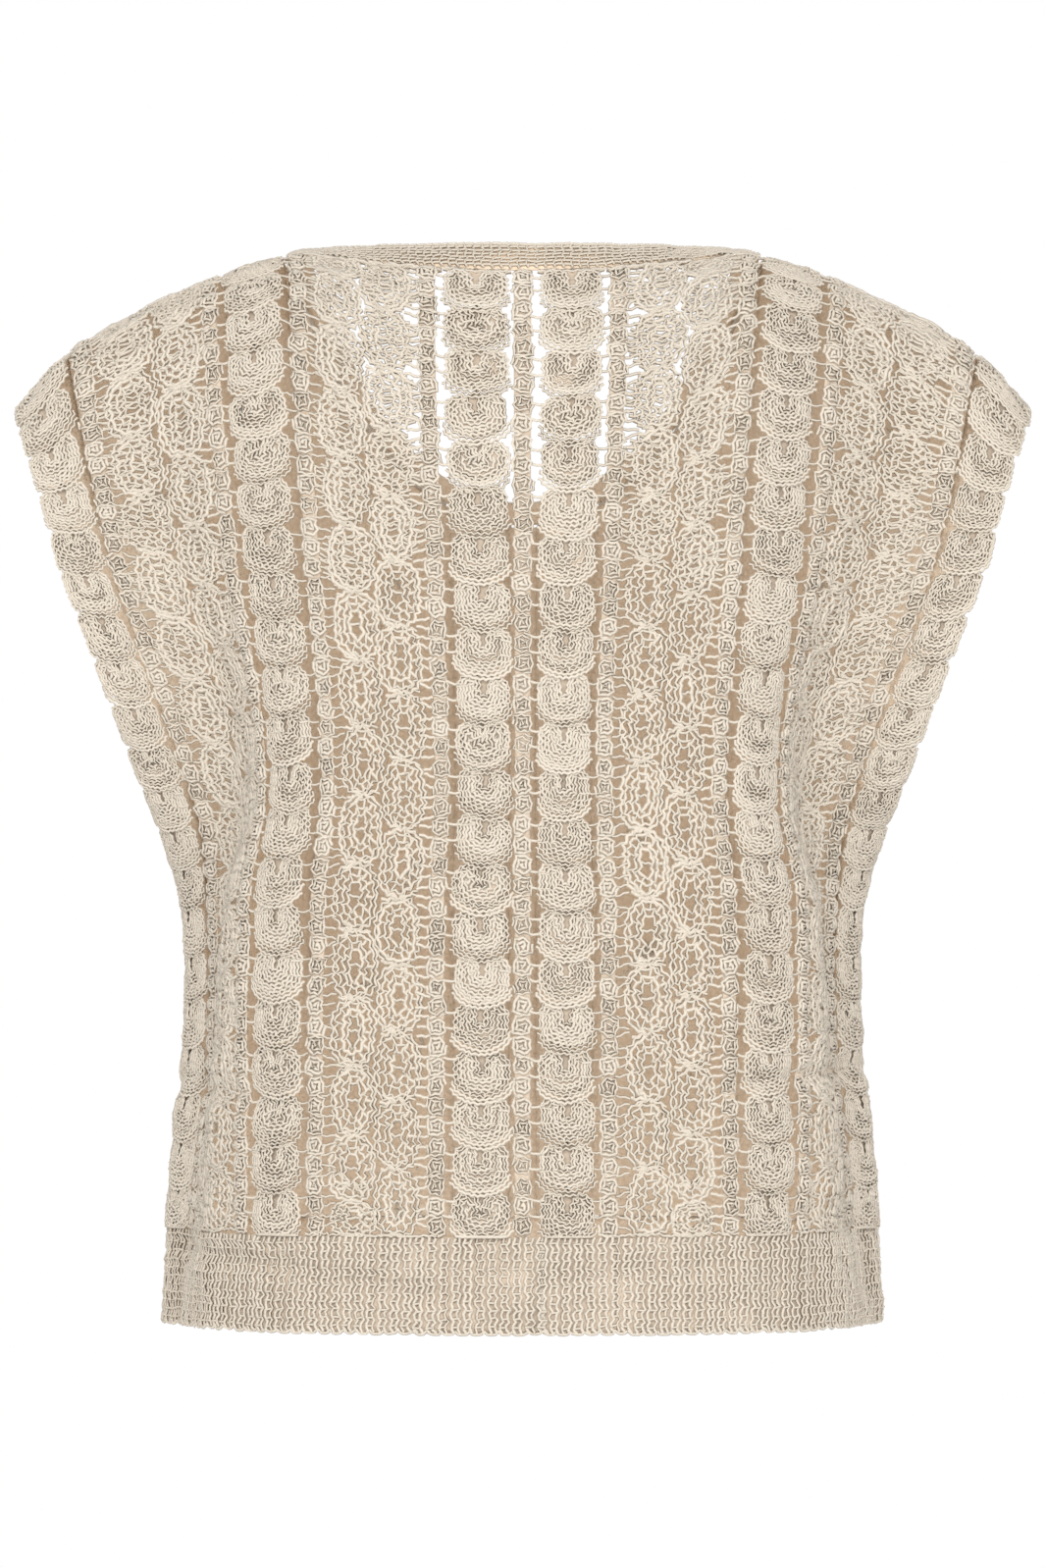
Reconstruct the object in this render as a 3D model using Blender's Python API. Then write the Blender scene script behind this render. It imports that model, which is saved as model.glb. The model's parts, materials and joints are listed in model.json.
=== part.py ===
"""A sleeveless crochet vest, worn shape, empty inside, open at the neck, the hem and both armholes.

The cloth is upright crochet strips: columns of fan-shaped shells, and lace strips that have a narrow
corded column along each edge. A neck band and a hem band close the strips at the top and the bottom.
Every piece is a thin wall on one shared cloth surface. Places on that surface are given by
the side (back or front), the distance across from its middle, and the level up from the hem.
Metres, +Z up. The back of the garment faces -Y. The origin is the middle of the neck, at the shoulders.
"""
import math
from collections import namedtuple

import bmesh
import bpy
import numpy as np

# Outer size of the garment
HEM_HEIGHT = -0.515
HEM_TOP = -0.469
YOKE_HEIGHT = -0.140
UNDERARM_HEIGHT = -0.305
SHOULDER_HALF = 0.243
HALF_CLOTH = 0.242

# Armhole: how far its edges stand from the side line, and where they stand furthest
ARMHOLE_REACH = 0.058
ARMHOLE_MIDDLE = -0.190

# Neck opening at the shoulder line, and the neckline of the front
NECK_HALF = 0.1095
NECK_HALF_X = 0.104
NECK_HALF_DEPTH = 0.064
NECK_CORNER = 0.006
NECK_RISE = 45
SHOULDER_RISE = 10
FRONT_NECK_DROP = 0.142
FRONT_BAND_WIDTH = 0.012
BACK_BAND_MIDDLE = 0.018
BACK_BAND_END = 0.005
NECK_SEAM = 0.0010

# Cloth thickness and the free space at seams
WALL = 0.0018
LACE_WALL = 0.0014
SEAM = 0.0004
HALF_SEAM = SEAM / 2

# Shell columns
SHELL_PITCH = 0.0223
SHELL_DROOP = 0.0055
FULL_DROOP_FROM = 1.2
SLOT_DEPTH = 0.0050
MIDDLE_SLOT_DEPTH = {"left": 0.0, "right": 0.0040}
CLOSED_FACE = "front"
CLOSED_SLOT_DEPTH = 0.0010
ARMHOLE_SCALLOP = 0.0020

# Corded columns beside the lace
CORD_COLUMN_WIDTH = 0.011
CORD_RAISE = 0.0018
MIDDLE_COLUMN_ROW = 0.025

# The net of points that the cloth surface is read from
LEVEL = 0.005
BODY_LEVELS = round((YOKE_HEIGHT - HEM_HEIGHT) / LEVEL)
YOKE_LEVELS = 32
TOP_LEVEL = BODY_LEVELS + YOKE_LEVELS
NET_COLUMNS = 64
SECTION_POINTS = 161
SOFTEN = 0.020
SOFTEN_STEPS = 9
YOKE_START_REACH = 0.45
YOKE_END_REACH = 0.35
TOP_SLOPE_POWER = 5
SHARP_EDGE = 50

# Level sections of the body, from the hem up. The turn is the angle of the cloth at its side edge.
Section = namedtuple("Section", "height half_width back_depth front_depth reach edge_reach edge_turn")
SECTIONS = (
    Section(-0.515, 0.1710, 0.122, 0.122, 0.112, 0.075, 82),
    Section(-0.469, 0.1695, 0.120, 0.121, 0.112, 0.075, 82),
    Section(-0.422, 0.1655, 0.118, 0.121, 0.115, 0.080, 84),
    Section(-0.375, 0.1600, 0.116, 0.122, 0.118, 0.085, 86),
    Section(-0.328, 0.1595, 0.116, 0.126, 0.118, 0.085, 86),
    Section(-0.305, 0.1630, 0.116, 0.130, 0.118, 0.080, 84),
    Section(-0.281, 0.1715, 0.117, 0.132, 0.120, 0.080, 54),
    Section(-0.257, 0.1815, 0.117, 0.133, 0.122, 0.082, 34),
    Section(-0.210, 0.1990, 0.117, 0.131, 0.114, 0.080, 10),
    Section(-0.163, 0.2180, 0.114, 0.122, 0.100, 0.070, 2),
    Section(-0.140, 0.2270, 0.111, 0.115, 0.092, 0.066, 0),
)

# The line of the shoulders seen from the back, from the middle outwards
Shoulder = namedtuple("Shoulder", "across height")
SHOULDER_LINE = (
    Shoulder(0.000, -0.002),
    Shoulder(0.104, -0.002),
    Shoulder(0.137, -0.012),
    Shoulder(0.175, -0.027),
    Shoulder(0.212, -0.048),
    Shoulder(0.231, -0.064),
    Shoulder(0.243, -0.084),
)

# The upright fold beside the armhole: its place as a part of the half width, and its depth
Fold = namedtuple("Fold", "height place depth")
SIDE_FOLD = (
    Fold(-0.515, 0.880, 0.003),
    Fold(-0.469, 0.880, 0.008),
    Fold(-0.400, 0.860, 0.012),
    Fold(-0.328, 0.830, 0.015),
    Fold(-0.281, 0.805, 0.020),
    Fold(-0.245, 0.785, 0.022),
    Fold(-0.210, 0.775, 0.021),
    Fold(-0.163, 0.770, 0.014),
    Fold(-0.116, 0.770, 0.006),
)
FOLD_HALF = 0.025
FOLD_FADE = 0.012
FOLD_STRENGTH = {"left": 0.9, "right": 1.0}

# Strips of each half, from the middle out: the edges nearest the middle and nearest the side
Strip = namedtuple("Strip", "name kind row inner outer inner_slots outer_slots")
STRIPS = (
    Strip("shell_inner", "shells", SHELL_PITCH, 0.0057, 0.0363, 0, SLOT_DEPTH),
    Strip("lace_inner", "lace", 0.026, 0.0368, 0.1089, 0, 0),
    Strip("shell_middle", "shells", SHELL_PITCH, 0.1097, 0.1415, SLOT_DEPTH, SLOT_DEPTH),
    Strip("lace_outer", "lace", 0.021, 0.1420, 0.2172, 0, 0),
    Strip("shell_outer", "shells", SHELL_PITCH, 0.2180, HALF_CLOTH - HALF_SEAM, 0, ARMHOLE_SCALLOP),
)
LACE_PARTS = {"lace_inner": 3, "lace_outer": 5}
MIDDLE_COLUMN_HALF = 0.0052

# Rows of one shell: place in its pitch, share of the side slot, and raise at the edge, lobes and middle
ShellRow = namedtuple("ShellRow", "place slot edge lobe middle")
SHELL_ROWS = (
    ShellRow(0.00, 1.00, 0.0000, 0.0000, 0.0000),
    ShellRow(0.17, 0.80, 0.0004, 0.0018, 0.0020),
    ShellRow(0.62, 0.00, 0.0006, 0.0020, 0.0010),
)
SHELL_INSIDE_ROWS = (0, 2)
SHELL_ACROSS = (0.0, 0.25, 0.5, 0.75, 1.0)

# Rows of the hem band: height and raise
HemRow = namedtuple("HemRow", "height raise_")
HEM_ROWS = (
    HemRow(HEM_HEIGHT, 0.0000),
    HemRow(-0.506, 0.0012),
    HemRow(-0.490, 0.0001),
    HemRow(-0.479, 0.0010),
    HemRow(HEM_TOP - HALF_SEAM, 0.0000),
)
HEM_COLUMN = 0.015
BACK_SEAM = 0.0094

# Raise of the neck bands across their width, from the free edge to the seam
BAND_RAISE = (0.0000, 0.0012, 0.0000)

COTTON = {
    "shells": (0.68, 0.60, 0.49),
    "lace": (0.62, 0.54, 0.43),
    "cord": (0.65, 0.57, 0.46),
    "band": (0.66, 0.58, 0.47),
}
ROUGHNESS = 0.85


def read(table, name, at, soften=SOFTEN):
    """A column of a table at the places given, softened where its rows meet."""
    places = [row[0] for row in table]
    values = [getattr(row, name) for row in table]
    shifts = np.linspace(-soften, soften, SOFTEN_STEPS)
    return np.mean([np.interp(at + shift, places, values) for shift in shifts], axis=0)


def bezier(start, start_handle, end_handle, end, t):
    """Points on a cubic curve."""
    rest = 1 - t
    return (rest ** 3 * start + 3 * rest ** 2 * t * start_handle
            + 3 * rest * t ** 2 * end_handle + t ** 3 * end)


def armhole_gape(height):
    """How far the edge of one side stands from the side line: nothing up to the underarm."""
    shifts = np.linspace(-SOFTEN / 2, SOFTEN / 2, SOFTEN_STEPS)
    climb = np.clip(height + shifts - UNDERARM_HEIGHT, 0, None)
    gapes = np.sin(math.pi / 2 * climb / (ARMHOLE_MIDDLE - UNDERARM_HEIGHT))
    return ARMHOLE_REACH * float(np.mean(gapes))


def running_length(line):
    """The length along a row of points, up to each of them."""
    return np.concatenate([[0], np.cumsum(np.linalg.norm(np.diff(line, axis=0), axis=1))])


def folded(line, height, strength):
    """A level line of the cloth with its upright fold pressed in."""
    run = running_length(line)
    away = (run - run[-1] * read(SIDE_FOLD, "place", height)) / FOLD_HALF
    from_edge = (run[-1] - run) / FOLD_FADE
    trough = read(SIDE_FOLD, "depth", height) * strength
    trough = trough * np.exp(-away ** 2) * (1 - np.exp(-from_edge ** 2))
    along = np.gradient(line, axis=0)
    inward = np.stack([along[:, 1], -along[:, 0]], axis=1)
    return line + inward / np.linalg.norm(inward, axis=1)[:, None] * trough[:, None]


def level_section(height, face, sign, fold_strength):
    """One level line of the cloth, from the middle to the side edge, in equal steps."""
    half_width = read(SECTIONS, "half_width", height)
    depth = read(SECTIONS, face + "_depth", height)
    reach = read(SECTIONS, "reach", height)
    edge_reach = read(SECTIONS, "edge_reach", height)
    turn = math.radians(read(SECTIONS, "edge_turn", height))
    start = np.array((0, depth))
    start_handle = np.array((reach, depth))
    end = np.array((half_width, armhole_gape(height)))
    end_handle = end + edge_reach * np.array((-math.cos(turn), math.sin(turn)))
    line = bezier(start, start_handle, end_handle, end, np.linspace(0, 1, SECTION_POINTS)[:, None])
    line = folded(line, height, fold_strength)
    run = running_length(line)
    steps = np.linspace(0, run[-1], NET_COLUMNS + 1)
    x = np.interp(steps, run, line[:, 0])
    y = np.interp(steps, run, line[:, 1])
    return np.stack([x, sign * y, np.full_like(x, height)], axis=1)


def shoulder_points(base, sign):
    """The shoulder and neck line that the cloth rises to from the top section of the body."""
    x = base[:, 0] * SHOULDER_HALF / base[-1, 0]
    shifts = np.linspace(-NECK_CORNER, NECK_CORNER, SOFTEN_STEPS)
    bows = [np.clip(1 - ((x + shift) / NECK_HALF_X) ** 2, 0, 1) for shift in shifts]
    y = sign * NECK_HALF_DEPTH * np.mean(bows, axis=0)
    z = read(SHOULDER_LINE, "height", x, SOFTEN / 2)
    return np.stack([x, y, z], axis=1)


def half_net(face, sign, fold_strength):
    """The net of one half of one side, with its fold, as rows of levels."""
    heights = np.linspace(HEM_HEIGHT, YOKE_HEIGHT, BODY_LEVELS + 1)
    body = np.array([level_section(height, face, sign, fold_strength) for height in heights])
    base = body[-1]
    climb = base - body[-4]
    climb /= np.linalg.norm(climb, axis=1)[:, None]
    top = shoulder_points(base, sign)
    lean = np.clip(top[:, 0] / NECK_HALF_X, 0, 1) ** 2
    rise = np.radians(NECK_RISE + (SHOULDER_RISE - NECK_RISE) * lean)
    arrive = np.stack([0 * rise, -sign * np.cos(rise), np.sin(rise)], axis=1)
    far = np.linalg.norm(top - base, axis=1)[:, None]
    t = np.linspace(0, 1, YOKE_LEVELS + 1)[1:, None, None]
    yoke = bezier(base, base + climb * far * YOKE_START_REACH, top - arrive * far * YOKE_END_REACH, top, t)
    return np.concatenate([body, yoke])


def outward(net, sign):
    """Unit directions out of the cloth at each point of a net."""
    across = np.gradient(net, axis=1)
    up = np.gradient(net, axis=0)
    direction = np.cross(across, up) * -sign
    return direction / np.linalg.norm(direction, axis=2)[:, :, None]


def whole_net(face):
    """Points and outward directions of one side, from its left edge to its right edge."""
    sign = -1 if face == "back" else 1
    right = half_net(face, sign, FOLD_STRENGTH["right"])
    left = half_net(face, sign, FOLD_STRENGTH["left"])[:, :0:-1] * np.array((-1, 1, 1))
    net = np.concatenate([left, right], axis=1)
    return net, outward(net, sign)


CLOTH = {face: whole_net(face) for face in ("back", "front")}


def cloth_point(face, across, level, lift=0.0):
    """Points at a distance across and a level up, lifted out of the cloth."""
    across, level, lift = np.broadcast_arrays(across, level, lift)
    column = np.clip((across / HALF_CLOTH + 1) * NET_COLUMNS, 0, 2 * NET_COLUMNS - 1e-9)
    row = np.clip(level, 0, TOP_LEVEL - 1e-9)
    i = row.astype(int)
    j = column.astype(int)
    p = (row - i)[..., None]
    q = (column - j)[..., None]
    places, directions = (
        (1 - p) * ((1 - q) * data[i, j] + q * data[i, j + 1])
        + p * ((1 - q) * data[i + 1, j] + q * data[i + 1, j + 1])
        for data in CLOTH[face]
    )
    directions = directions / np.linalg.norm(directions, axis=-1, keepdims=True)
    return places + directions * lift[..., None]


def level_at_height(height):
    """The level of a height on the body, below the yoke."""
    return (height - HEM_HEIGHT) / LEVEL


def upright_run(face, across):
    """Levels of the upright line at one place across, and the cloth length up to each of them."""
    levels = np.linspace(0, TOP_LEVEL, 4 * TOP_LEVEL + 1)
    return levels, running_length(cloth_point(face, across, levels))


def level_below_top(face, across, drop):
    """The level that lies a length of cloth below the shoulder and neck line."""
    levels, run = upright_run(face, across)
    return float(np.interp(run[-1] - drop, run, levels))


def strip_top(face, across):
    """The level where the strips end: at the neck band within the neck, else at the shoulder seam."""
    part = abs(across) / (NECK_HALF + SEAM)
    if part >= 1:
        return level_below_top(face, across, HALF_SEAM)
    bow = math.sqrt(1 - part ** 2)
    if face == "front":
        return level_below_top(face, across, FRONT_NECK_DROP * bow)
    return level_below_top(face, across, BACK_BAND_END + (BACK_BAND_MIDDLE - BACK_BAND_END) * bow)


def join_edges(mesh, first, first_at, second, second_at):
    """Triangles between two rows of points that have different numbers of them."""
    i = 0
    j = 0
    while i < len(first) - 1 or j < len(second) - 1:
        second_done = j == len(second) - 1
        first_next = i < len(first) - 1 and (second_done or first_at[i + 1] <= second_at[j + 1] + 1e-9)
        if first_next:
            mesh.faces.new((first[i], first[i + 1], second[j]))
            i += 1
        else:
            mesh.faces.new((first[i], second[j + 1], second[j]))
            j += 1


def make_wall(name, outside, outside_rows, outside_columns, inside, inside_rows, inside_columns, colour):
    """A closed wall between an outer and an inner net, each with its own rows and columns."""
    mesh = bmesh.new()
    nets = []
    for points in (outside, inside):
        net = [[mesh.verts.new(point) for point in row] for row in points]
        for lower, upper in zip(net, net[1:]):
            for k in range(len(lower) - 1):
                mesh.faces.new((lower[k], lower[k + 1], upper[k + 1], upper[k]))
        nets.append(net)
    outer, inner = nets
    for end in (0, -1):
        outer_side = [row[end] for row in outer]
        inner_side = [row[end] for row in inner]
        join_edges(mesh, outer_side, outside_rows, inner_side, inside_rows)
        join_edges(mesh, outer[end], outside_columns, inner[end], inside_columns)
    bmesh.ops.recalc_face_normals(mesh, faces=mesh.faces)
    data = bpy.data.meshes.new(name)
    mesh.to_mesh(data)
    mesh.free()
    data.shade_smooth()
    data.set_sharp_from_angle(angle=math.radians(SHARP_EDGE))
    data.materials.append(cotton(name, colour))
    piece = bpy.data.objects.new(name, data)
    bpy.data.collections["crochet_vest"].objects.link(piece)
    return piece


def cotton(name, colour):
    """Matt cotton yarn in the piece's own shade."""
    material = bpy.data.materials.new(name + "_cotton")
    material.use_nodes = True
    shader = material.node_tree.nodes["Principled BSDF"]
    shader.inputs["Base Color"].default_value = (*COTTON[colour], 1)
    shader.inputs["Roughness"].default_value = ROUGHNESS
    return material


class StripLine:
    """The middle line of a strip: turns lengths of cloth into levels, and meets a sloping top."""

    def __init__(self, face, inner, outer, side):
        self.face = face
        self.side = side
        self.middle = (inner + outer) / 2 * side
        levels, run = upright_run(face, self.middle)
        self.bottom = level_at_height(HEM_TOP + HALF_SEAM)
        self.top = strip_top(face, self.middle)
        start = np.interp(self.bottom, levels, run)
        self.length = float(np.interp(self.top, levels, run) - start)
        self.levels = levels
        self.run = run - start

    def level(self, length, across):
        """The level of a length up the strip, at a place across it."""
        on_line = float(np.interp(length, self.run, self.levels))
        part = min(1.0, length / self.length)
        return on_line + (strip_top(self.face, across) - self.top) * part ** TOP_SLOPE_POWER


def shell_strip(name, face, side, strip):
    """A column of overlapping shells, raised outside, plain inside, with notched edges.

    The notches are open slots on the back, and shallow on the closed front, whose strips meet.
    """
    line = StripLine(face, strip.inner, strip.outer, side)
    count = round(line.length / strip.row)
    pitch = line.length / count
    slots_start = underarm_length(line) if strip.name == "shell_outer" else 0
    inner_slots, outer_slots = strip.inner_slots, strip.outer_slots
    if strip.name == "shell_inner":
        inner_slots = MIDDLE_SLOT_DEPTH["left" if side < 0 else "right"]
    if face == CLOSED_FACE and strip.name != "shell_outer":
        inner_slots = outer_slots = CLOSED_SLOT_DEPTH

    def net(rows, across_parts, raised):
        points = []
        for number in range(count):
            for row in rows:
                points.append(row_points(number, row, across_parts, raised))
        points.append(row_points(count, ShellRow(0, 0, 0, 0, 0), across_parts, False))
        return points

    def row_points(number, row, across_parts, raised):
        length = (number + row.place) * pitch
        inner_cut = inner_slots * row.slot
        outer_cut = outer_slots * row.slot * (length > slots_start)
        droop_share = min(1, length / pitch / FULL_DROOP_FROM) * (number < count)
        points = []
        for part in across_parts:
            across = strip.inner + inner_cut + part * (strip.outer - outer_cut - strip.inner - inner_cut)
            from_edge = 1 - (2 * part - 1) ** 2
            droop = SHELL_DROOP * from_edge * droop_share * raised
            raise_ = np.interp(abs(2 * part - 1), (0, 0.5, 1), (row.middle, row.lobe, row.edge))
            lift = (WALL + raise_ * raised) if raised or number == count else 0
            level = line.level(length - droop, across * side)
            points.append((across * side, level, lift))
        return points

    outside = net(SHELL_ROWS, SHELL_ACROSS, True)
    inside_columns = (0.0, 1.0) if strip.name == "shell_middle" else (0.0, 0.5, 1.0)
    inside = net([SHELL_ROWS[k] for k in SHELL_INSIDE_ROWS], inside_columns, False)
    inside[-1] = [(across, level, 0) for across, level, lift in inside[-1]]
    outside_rows = [n + row.place for n in range(count) for row in SHELL_ROWS] + [count]
    inside_rows = [n + SHELL_ROWS[k].place for n in range(count) for k in SHELL_INSIDE_ROWS] + [count]
    return make_wall(name, placed(face, outside), outside_rows, SHELL_ACROSS,
                     placed(face, inside), inside_rows, inside_columns, "shells")


def underarm_length(line):
    """The length up a strip at which the armhole starts."""
    return float(np.interp(level_at_height(UNDERARM_HEIGHT), line.levels, line.run))


def placed(face, rows):
    """Rows of (across, level, lift) as points."""
    return [[cloth_point(face, *point) for point in row] for row in rows]


def plain_strip(name, face, side, row, columns, inside_columns, wall, raises, colour):
    """A strip of even cross-section: its raised columns run all the way up."""
    line = StripLine(face, columns[0], columns[-1], side)
    count = round(line.length / row)
    lengths = [line.length * k / count for k in range(count + 1)]

    def net(places, lifts):
        return [[(across * side, line.level(length, across * side), lift)
                 for across, lift in zip(places, lifts)] for length in lengths]

    outside = net(columns, [wall + raise_ for raise_ in raises])
    inside = net(inside_columns, [0] * len(inside_columns))
    return make_wall(name, placed(face, outside), lengths, columns,
                     placed(face, inside), lengths, inside_columns, colour)


def lace_columns(strip):
    """Places across a lace strip where it has a point: its corded columns, and the lace between."""
    cords = (0, CORD_COLUMN_WIDTH / 2)
    lace = np.linspace(strip.inner + CORD_COLUMN_WIDTH, strip.outer - CORD_COLUMN_WIDTH,
                       LACE_PARTS[strip.name] + 1)
    return ([strip.inner + step for step in cords] + [float(place) for place in lace]
            + [strip.outer - step for step in reversed(cords)])


def lace_strip(name, face, side, strip):
    """Open lace between two narrow corded columns, which stand out from it."""
    columns = lace_columns(strip)
    raises = [0] * len(columns)
    raises[0] = raises[-1] = WALL - LACE_WALL
    raises[1] = raises[-2] = CORD_RAISE
    return plain_strip(name, face, side, strip.row, columns, columns, LACE_WALL, raises, "lace")


def middle_column(name, face):
    """The single narrow corded column down the middle of one side."""
    half = MIDDLE_COLUMN_HALF
    return plain_strip(name, face, 1, MIDDLE_COLUMN_ROW, (-half, 0, half), (-half, half),
                       WALL, (0, CORD_RAISE, 0), "cord")


def hem_band(name, face, left, right):
    """A stretch of the ribbed band round the hem."""
    count = round((right - left) / HEM_COLUMN)
    columns = np.linspace(left, right, count + 1)
    levels = [level_at_height(row.height) for row in HEM_ROWS]
    outside = [[(across, level, WALL + row.raise_) for across in columns]
               for level, row in zip(levels, HEM_ROWS)]
    inside = [[(across, level, 0) for across in columns] for level in (levels[0], levels[-1])]
    return make_wall(name, placed(face, outside), levels, columns,
                     placed(face, inside), (levels[0], levels[-1]), columns, "band")


def neck_stations():
    """Places across one half of the neck, as angles on the neckline, where the bands have a point."""
    edges = [0, MIDDLE_COLUMN_HALF]
    shells, lace = STRIPS[:2]
    edges += [shells.inner + (shells.outer - shells.inner) * part for part in SHELL_ACROSS[1:]]
    edges += lace_columns(lace)[1:]
    return [math.asin(edge / (NECK_HALF + SEAM)) for edge in edges] + [math.pi / 2]


def neck_band(name, face):
    """The band along the neck: shallow across the back, a round neckline in front."""
    half = neck_stations()
    angles = [-angle for angle in reversed(half[1:])] + half
    outside = []
    for row, raise_ in enumerate(BAND_RAISE):
        part = row / (len(BAND_RAISE) - 1)
        outside.append([band_point(face, angle, part, WALL + raise_) for angle in angles])
    inside = [[band_point(face, angle, part, 0) for angle in angles] for part in (0, 1)]
    rows = np.linspace(0, 1, len(BAND_RAISE))
    return make_wall(name, placed(face, outside), rows, angles, placed(face, inside), (0, 1), angles, "band")


def band_point(face, angle, part, lift):
    """A point of the neck band: part 0 is its free edge, part 1 its seam to the strips."""
    if face == "front":
        width = FRONT_BAND_WIDTH * (1 - part)
        across = (NECK_HALF - width) * math.sin(angle)
        drop = HALF_SEAM + (FRONT_NECK_DROP - NECK_SEAM - width) * math.cos(angle)
    else:
        across = (NECK_HALF - HALF_SEAM) * math.sin(angle)
        lower = BACK_BAND_END - SEAM + (BACK_BAND_MIDDLE - BACK_BAND_END) * math.cos(angle)
        drop = HALF_SEAM + (lower - HALF_SEAM) * part
    return across, level_below_top(face, across, drop), lift


def clear_scene():
    """Remove what the scene starts with."""
    for leftover in list(bpy.data.objects):
        bpy.data.objects.remove(leftover)


def build_vest():
    """All the pieces of both sides, then the bands."""
    collection = bpy.data.collections.new("crochet_vest")
    bpy.context.scene.collection.children.link(collection)
    makers = {"shells": shell_strip, "lace": lace_strip}
    for face in ("back", "front"):
        middle_column(face + "_middle_column", face)
        for side_name, side in (("left", -1), ("right", 1)):
            for strip in STRIPS:
                makers[strip.kind](f"{face}_{side_name}_{strip.name}", face, side, strip)
        neck_band(face + "_neck_band", face)
    side_seam = HALF_CLOTH - HALF_SEAM
    hem_band("back_left_hem_band", "back", -side_seam, BACK_SEAM - HALF_SEAM)
    hem_band("back_right_hem_band", "back", BACK_SEAM + HALF_SEAM, side_seam)
    hem_band("front_hem_band", "front", -side_seam, side_seam)


clear_scene()
build_vest()
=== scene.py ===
"""Looks of a cream cotton crochet vest in its worn shape, empty inside.

Every strip is made as a crocheter makes it: motifs of yarn are laid out flat, in rows, and the strip is
then worn, wrapped on the same cloth surface as the solids of the frame. Metres, +Z up.
"""
import json
import math
import random
from collections import namedtuple

import bpy
import numpy as np
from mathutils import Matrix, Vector

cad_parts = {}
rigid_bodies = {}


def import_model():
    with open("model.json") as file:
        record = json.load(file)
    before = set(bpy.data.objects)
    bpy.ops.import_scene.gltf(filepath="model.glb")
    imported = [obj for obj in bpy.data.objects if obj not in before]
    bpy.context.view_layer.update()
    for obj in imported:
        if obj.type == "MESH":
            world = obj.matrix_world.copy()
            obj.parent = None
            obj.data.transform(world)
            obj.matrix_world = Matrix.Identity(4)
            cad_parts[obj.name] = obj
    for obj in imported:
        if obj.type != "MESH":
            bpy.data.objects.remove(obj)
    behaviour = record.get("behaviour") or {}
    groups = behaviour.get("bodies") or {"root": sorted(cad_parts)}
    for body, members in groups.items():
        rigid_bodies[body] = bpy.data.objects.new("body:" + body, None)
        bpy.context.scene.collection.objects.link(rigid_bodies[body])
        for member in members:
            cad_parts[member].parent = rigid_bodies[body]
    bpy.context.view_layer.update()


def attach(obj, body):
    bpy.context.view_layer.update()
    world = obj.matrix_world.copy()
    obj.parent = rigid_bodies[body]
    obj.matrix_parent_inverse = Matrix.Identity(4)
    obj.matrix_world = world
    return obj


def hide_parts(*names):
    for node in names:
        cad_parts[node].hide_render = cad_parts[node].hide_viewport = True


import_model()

# Shell columns
# Upright columns of crocheted cotton shells: hearts of rows worked round a bent core, each lapping the one
# below and tied by two threads to each neighbour that a gap parts it from. The worn shape comes first: level
# sections from the hem up, the line of the shoulders, the fold at each side and the creases.
HEM_HEIGHT = -0.515
HEM_TOP = -0.469
YOKE_HEIGHT = -0.140
UNDERARM_HEIGHT = -0.305
SHOULDER_HALF = 0.243
HALF_CLOTH = 0.242
ARMHOLE_REACH = 0.058
ARMHOLE_MIDDLE = -0.190
NECK_HALF = 0.1095
NECK_HALF_X = 0.104
NECK_HALF_DEPTH = 0.064
NECK_CORNER = 0.006
NECK_RISE = 45
SHOULDER_RISE = 10
FRONT_NECK_DROP = 0.142
FRONT_BAND_WIDTH = 0.012
BACK_BAND_MIDDLE = 0.018
BACK_BAND_END = 0.005
SEAM = 0.0004
TINY = 1e-9

LEVEL = 0.005
BODY_LEVELS = round((YOKE_HEIGHT - HEM_HEIGHT) / LEVEL)
YOKE_LEVELS = 32
TOP_LEVEL = BODY_LEVELS + YOKE_LEVELS
NET_COLUMNS = 64
SECTION_POINTS = 161
SOFTEN = 0.020
SOFTEN_STEPS = 9
YOKE_START_REACH = 0.45
YOKE_END_REACH = 0.35
TOP_SLOPE_POWER = 5

Section = namedtuple("Section", "height half_width back_depth front_depth reach edge_reach edge_turn")
SECTIONS = (
    Section(-0.515, 0.1710, 0.122, 0.122, 0.112, 0.075, 82),
    Section(-0.469, 0.1695, 0.120, 0.121, 0.112, 0.075, 82),
    Section(-0.422, 0.1655, 0.118, 0.121, 0.115, 0.080, 84),
    Section(-0.375, 0.1600, 0.116, 0.122, 0.118, 0.085, 86),
    Section(-0.328, 0.1595, 0.116, 0.126, 0.118, 0.085, 86),
    Section(-0.305, 0.1630, 0.116, 0.130, 0.118, 0.080, 84),
    Section(-0.281, 0.1715, 0.117, 0.132, 0.120, 0.080, 54),
    Section(-0.257, 0.1815, 0.117, 0.133, 0.122, 0.082, 34),
    Section(-0.210, 0.1990, 0.117, 0.131, 0.114, 0.080, 10),
    Section(-0.163, 0.2180, 0.114, 0.122, 0.100, 0.070, 2),
    Section(-0.140, 0.2270, 0.111, 0.115, 0.092, 0.066, 0),
)
Shoulder = namedtuple("Shoulder", "across height")
SHOULDER_LINE = (
    Shoulder(0.000, -0.002),
    Shoulder(0.104, -0.002),
    Shoulder(0.137, -0.012),
    Shoulder(0.175, -0.027),
    Shoulder(0.212, -0.048),
    Shoulder(0.231, -0.064),
    Shoulder(0.243, -0.084),
)
Fold = namedtuple("Fold", "height place depth")
SIDE_FOLD = (
    Fold(-0.515, 0.880, 0.003),
    Fold(-0.469, 0.880, 0.008),
    Fold(-0.400, 0.860, 0.012),
    Fold(-0.328, 0.830, 0.015),
    Fold(-0.281, 0.805, 0.020),
    Fold(-0.245, 0.785, 0.022),
    Fold(-0.210, 0.775, 0.021),
    Fold(-0.163, 0.770, 0.014),
    Fold(-0.116, 0.770, 0.006),
)
FOLD_HALF = 0.025
FOLD_FADE = 0.012
FOLD_STRENGTH = {"left": 0.9, "right": 1.0}


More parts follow.
